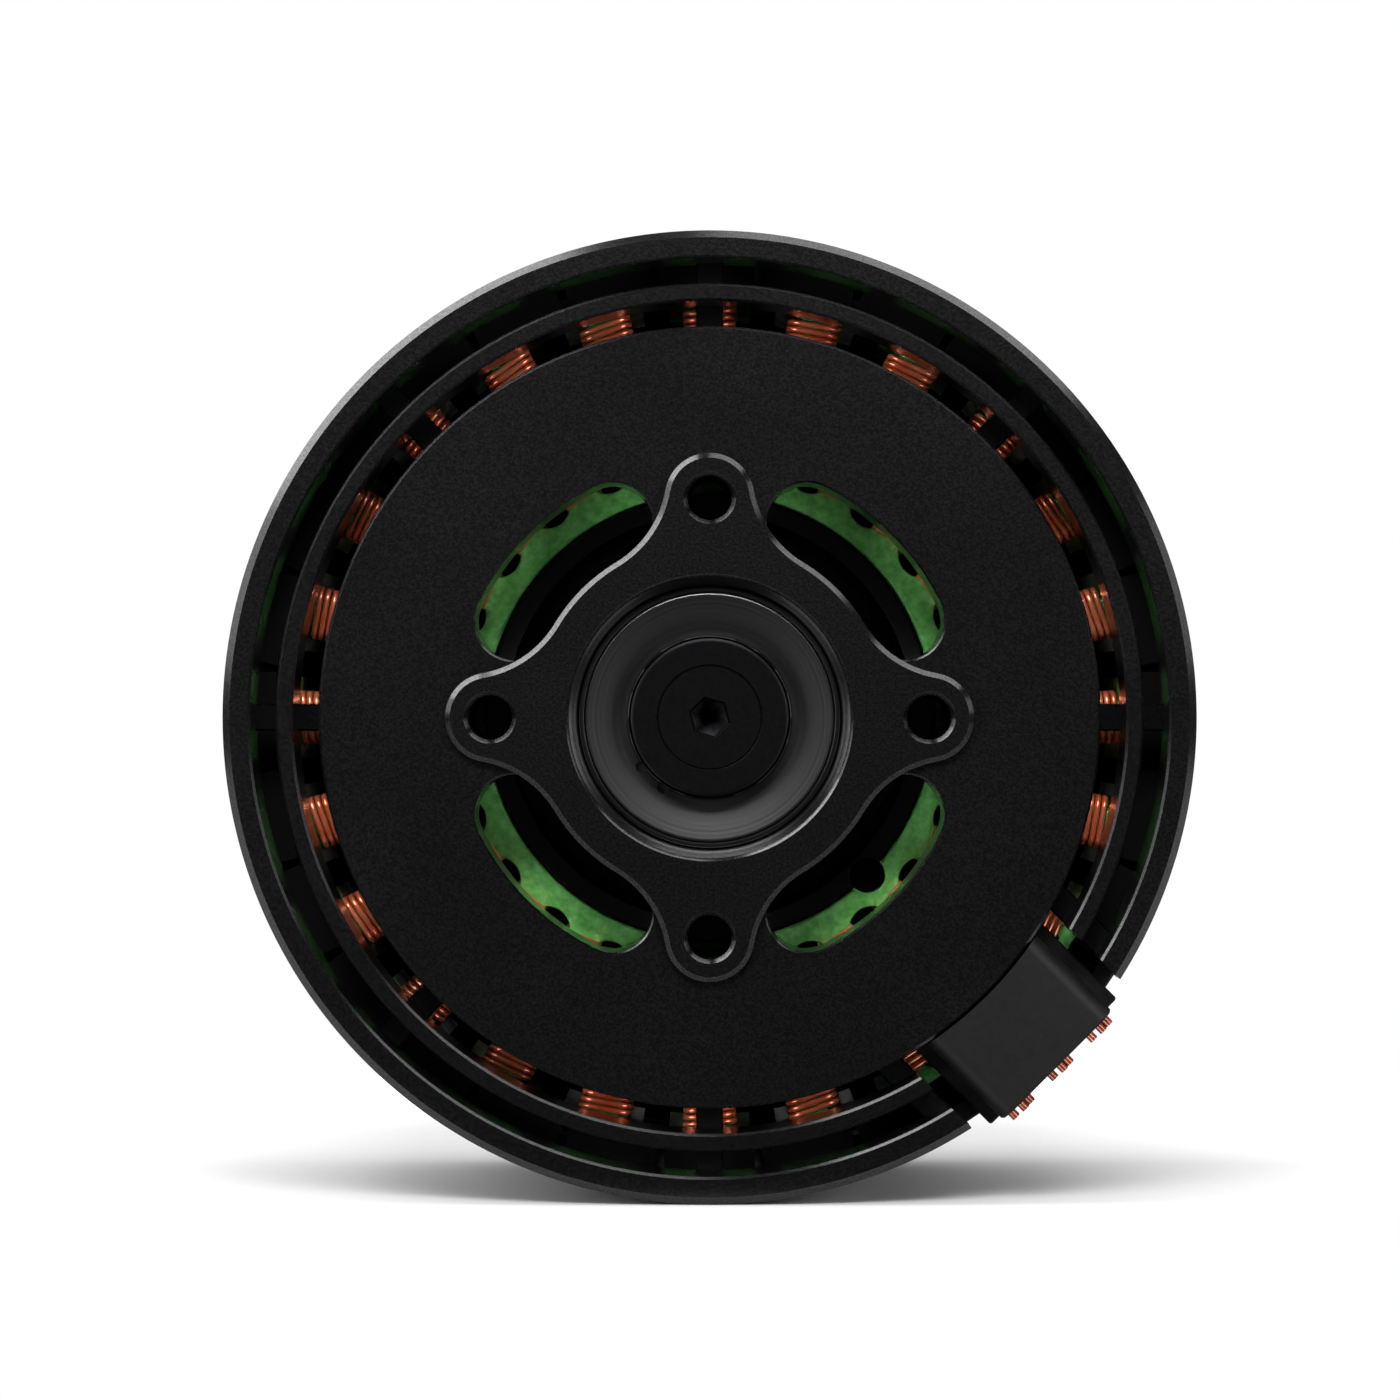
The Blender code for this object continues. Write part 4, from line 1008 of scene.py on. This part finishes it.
bell_profile += [
    (bell_radius, seat_z - bell_edge),
    (bell_radius - bell_edge, seat_z),
    (spigot, seat_z),
    (spigot, bell_high[2]),
    (spigot - spigot_wall, bell_high[2]),
    (spigot - spigot_wall, crown_top + spigot_wall),
    (spigot - 2 * spigot_wall, crown_top),
    (collar_radius, crown_top),
    (collar_radius, collar_top),
    (shaft_hole, collar_top),
]
bell = lathed("crown", bell_profile, rim_steps)
slot_small = 1.9 * MM
slot_large = 2.5 * MM
slot_inner = 15.5 * MM + slot_small
slot_outer = 21.7 * MM - slot_large
lean = math.asin((slot_large - slot_small) / (slot_outer - slot_inner))
slot_outline = arc((slot_outer, 0), slot_large, -quarter_turn - lean, quarter_turn + lean, 18)
slot_outline += arc((slot_inner, 0), slot_small, quarter_turn + lean, 3 * quarter_turn - lean, 14)
slot_levels = [
    (prop_rise - 0.3 * MM, 0.45 * MM),
    (prop_rise + 0.15 * MM, 0),
    (crown_top + 0.3 * MM, 0),
]
slot_outlines = [turned(slot_outline, (i + 0.5) * math.pi / 6) for i in range(12)]
crown_slots = piece_from("crown slot cutter", milled(slot_outlines, slot_levels))
prop_circle_radius = 6 * MM
prop_hole_radius = 1.25 * MM
prop_hole_depth = 3.4 * MM
prop_hole = arc((prop_circle_radius, 0), prop_hole_radius, 0, math.tau, 25)[:-1]
prop_outlines = [turned(prop_hole, i * quarter_turn) for i in range(4)]
prop_levels = [(-0.25 * MM, 0.5 * MM), (0.25 * MM, 0), (prop_hole_depth, 0)]
prop_holes = piece_from("propeller hole cutter", milled(prop_outlines, prop_levels))
finished(bell, [("DIFFERENCE", crown_slots), ("DIFFERENCE", prop_holes)])
cover(bell, anodised)
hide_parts("rotor_bell")
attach(bell, "turning_side")


# The flux ring and its magnets
# A thin steel ring, blackened against rust, carries twenty-eight block magnets in black epoxy, glued side by
# side round its inside. The flat inner faces run a third of a millimetre clear of the stator's teeth.
flux_inner = 26.7 * MM
flux_ring = lathed(
    "flux_ring",
    [
        (flux_inner, flux_low[2]),
        (bell_radius - bell_edge, flux_low[2]),
        (bell_radius, flux_low[2] + bell_edge),
        (bell_radius, flux_high[2] - bell_edge),
        (bell_radius - bell_edge, flux_high[2]),
        (flux_inner, flux_high[2]),
    ],
    rim_steps,
)

# Blackening leaves a thin oily film on the turned steel, uneven in its gloss over a millimetre or so.
blackened, tree, shader, place = start_material("blackened flux ring steel", "#1d1d1f", 0.38, 0.95)
film = add_node(tree, "ShaderNodeTexNoise", {"Vector": place, "Scale": 1 / (0.9 * MM), "Detail": 5.0})
filmed = {"Value": film, "To Min": 0.3, "To Max": 0.48}
add_node(tree, "ShaderNodeMapRange", filmed, shader.inputs["Roughness"])
cover(flux_ring, blackened)

magnet_sizes = {
    "Thickness": 1.38 * MM,
    "Width": 5.3 * MM,
    "Length": 13.4 * MM,
    "Radius": 25.3 * MM + 0.69 * MM,
    "Middle": (stack_low[2] + stack_high[2]) / 2,
}
magnet_layout, sizes = geometry_group("magnet ring", magnet_sizes, ("Magnets",), "Plating")
block_axes = {"X": sizes["Thickness"], "Y": sizes["Width"], "Z": sizes["Length"]}
block_size = add_node(magnet_layout, "ShaderNodeCombineXYZ", block_axes)
block_place = add_node(magnet_layout, "ShaderNodeCombineXYZ", {"X": sizes["Radius"], "Z": sizes["Middle"]})
block = add_node(magnet_layout, "GeometryNodeMeshCube", {"Size": block_size})
block_out = add_node(magnet_layout, "GeometryNodeTransform", {"Geometry": block, "Translation": block_place})
blocks = round_axis(magnet_layout, sizes["Magnets"], block_out)
plated = add_node(
    magnet_layout, "GeometryNodeSetMaterial", {"Geometry": blocks, "Material": sizes["Plating"]}
)
add_node(magnet_layout, "NodeGroupOutput", {"Geometry": plated})

# The magnets' epoxy is a dull black that stays dark behind the coils.
magnet_coat, tree, shader, place = start_material(
    "epoxy-coated magnet", "#060606", 0.65, 0.0, Specular_IOR_Level=0.08
)
stain = add_node(tree, "ShaderNodeTexNoise", {"Vector": place, "Scale": 1 / (1.2 * MM), "Detail": 4.0})
stained = {"Value": stain, "To Min": 0.55, "To Max": 0.75}
add_node(tree, "ShaderNodeMapRange", stained, shader.inputs["Roughness"])
magnet_values = {**magnet_sizes, "Magnets": 28, "Plating": magnet_coat}
magnets = grown_piece("magnets", magnet_layout, magnet_values)
for part in (flux_ring, magnets):
    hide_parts("magnet_ring")
    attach(part, "turning_side")


# The shaft
# A hollow shaft of hardened steel, ground to 6 mm, that runs through the collar and both bearings. The end
# screw goes into its bore and holds the bell, shaft and inner rings together.
shaft_low, shaft_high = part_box("shaft")
shaft_radius = 3 * MM
shaft_bore = 1.5 * MM
shaft_piece = lathed(
    "hollow_shaft",
    [
        (shaft_bore, shaft_low[2]),
        (2.72 * MM, shaft_low[2]),
        (shaft_radius, shaft_low[2] + 0.28 * MM),
        (shaft_radius, shaft_high[2] - 0.15 * MM),
        (2.85 * MM, shaft_high[2]),
        (1.9 * MM, shaft_high[2]),
        (shaft_bore, shaft_high[2] - 0.4 * MM),
    ],
    120,
)
cover(shaft_piece, ground_steel)
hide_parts("shaft")
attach(shaft_piece, "turning_side")


# The studio
# In the photograph the motor stands on its rim with its axis level, so the floor is the plane under the guard
# ring, on the -Y side. It is a pale sweep, white to the camera, with a painted shadow where the motor stands
# on it: occlusion and nearness to the axis dim its glow.
floor_bm = bmesh.new()
floor_level = -guard_ring_outer - 0.02 * MM
floor_front = mounting_face_z + 4 * MM
floor_back = -70 * MM
floor_half = 300 * MM
corners = [(-1, floor_back), (-1, floor_front), (1, floor_front), (1, floor_back)]
floor_bm.faces.new([floor_bm.verts.new((side * floor_half, floor_level, z)) for side, z in corners])
floor_mesh = bpy.data.meshes.new("pale sweep")
floor_bm.to_mesh(floor_mesh)
floor_bm.free()
floor = linked("pale sweep", floor_mesh)
paper, tree, shader, place = start_material("pale paper sweep", "#8e8e8e", 0.9, 0.0, Specular_IOR_Level=0.1)
rays = add_node(tree, "ShaderNodeLightPath").outputs
mirrored = add_node(tree, "ShaderNodeMath", {0: rays["Is Glossy Ray"], 1: 0.35}, operation="MULTIPLY")
seen = add_node(tree, "ShaderNodeMath", {0: rays["Is Camera Ray"], 1: mirrored}, operation="MAXIMUM")
through = {0: seen, 1: rays["Is Transmission Ray"]}
seen_through = add_node(tree, "ShaderNodeMath", through, operation="MAXIMUM")
# Painted contact shadow: ambient occlusion within 60 mm darkens the sweep's glow next to the motor.
occlusion_for_painted_shadow = add_node(tree, "ShaderNodeAmbientOcclusion", {"Distance": 60 * MM})
painted_contact_shadow = add_node(tree, "ShaderNodeMath", {0: occlusion_for_painted_shadow.outputs["AO"], 1: 1.6}, operation="POWER")
glow_with_painted_shadow = add_node(tree, "ShaderNodeMath", {0: seen_through, 1: painted_contact_shadow}, operation="MULTIPLY")
away = add_node(tree, "ShaderNodeVectorMath", {0: place}, operation="LENGTH").outputs["Value"]
# Painted shade: under the motor the sheet's glow is dimmed to a light grey, and it brightens to white 75 mm
# from the axis.
painted_shade_fade = {"Value": away, "From Min": 40 * MM, "From Max": 75 * MM, "To Min": 0.62}
painted_shade_fade_factor = add_node(tree, "ShaderNodeMapRange", painted_shade_fade)
add_node(tree, "ShaderNodeMath", {0: glow_with_painted_shadow, 1: painted_shade_fade_factor}, shader.inputs["Emission Strength"], operation="MULTIPLY")
shader.inputs["Emission Color"].default_value = (1, 1, 1, 1)
# From its back the sweep is clear, so that it hides nothing in views from that side.
side_seen = add_node(tree, "ShaderNodeNewGeometry").outputs["Backfacing"]
clear = add_node(tree, "ShaderNodeBsdfTransparent")
surface = tree.nodes["Material Output"].inputs["Surface"]
add_node(tree, "ShaderNodeMixShader", {0: side_seen, 1: shader, 2: clear}, surface)
cover(floor, paper)


def softbox(name, azimuth, elevation, distance, width, height, radiance):
    """A rectangular lamp that faces the motor, at an angle round its axis and a height toward the camera."""
    data = bpy.data.lights.new(name, "AREA")
    data.shape = "RECTANGLE"
    data.size = width
    data.size_y = height
    data.energy = radiance * math.pi * width * height
    tilt = math.radians(elevation)
    offset = Vector((*polar(distance * math.cos(tilt), azimuth), distance * math.sin(tilt)))
    lamp = linked(name, data)
    lamp.location = offset + Vector((0, 0, mounting_face_z / 2))
    lamp.rotation_euler = (-offset).to_track_quat("-Z", "Y").to_euler()


# A light tent: low boxes above and at both sides draw the chamfers, a higher one and four dim fills reach the
# bearing, the coils and the green core, and two more light the sides that the photograph hides.
softbox("upper left box", 130, 4, 0.9, 0.8, 0.3, 13)
softbox("upper right box", 66, 2, 0.9, 0.8, 0.26, 6)
softbox("left box", 165, 2, 1.0, 0.35, 0.26, 4.5)
softbox("right box", 16, 2, 1.0, 0.35, 0.26, 2.6)
softbox("high box", 92, 50, 0.5, 0.3, 0.18, 34)
for azimuth, radiance in ((168, 17), (12, 15), (222, 7), (318, 5)):
    softbox(f"high fill {azimuth}", azimuth, 43, 0.6, 0.27, 0.27, radiance)
softbox("propeller side box", 100, -50, 1.2, 0.8, 0.8, 1.2)
softbox("lead side box", 292, -24, 1.0, 0.6, 0.4, 3)

world = bpy.data.worlds.new("studio")
world.use_nodes = True
bpy.context.scene.world = world
tree = world.node_tree
background = tree.nodes["Background"]
background.inputs["Color"].default_value = (1, 1, 1, 1)
rays = add_node(tree, "ShaderNodeLightPath").outputs
lit = add_node(tree, "ShaderNodeMapRange", {"Value": rays["Is Camera Ray"], "To Min": 0.02, "To Max": 1.0})
tree.links.new(lit.outputs["Result"], background.inputs["Strength"])
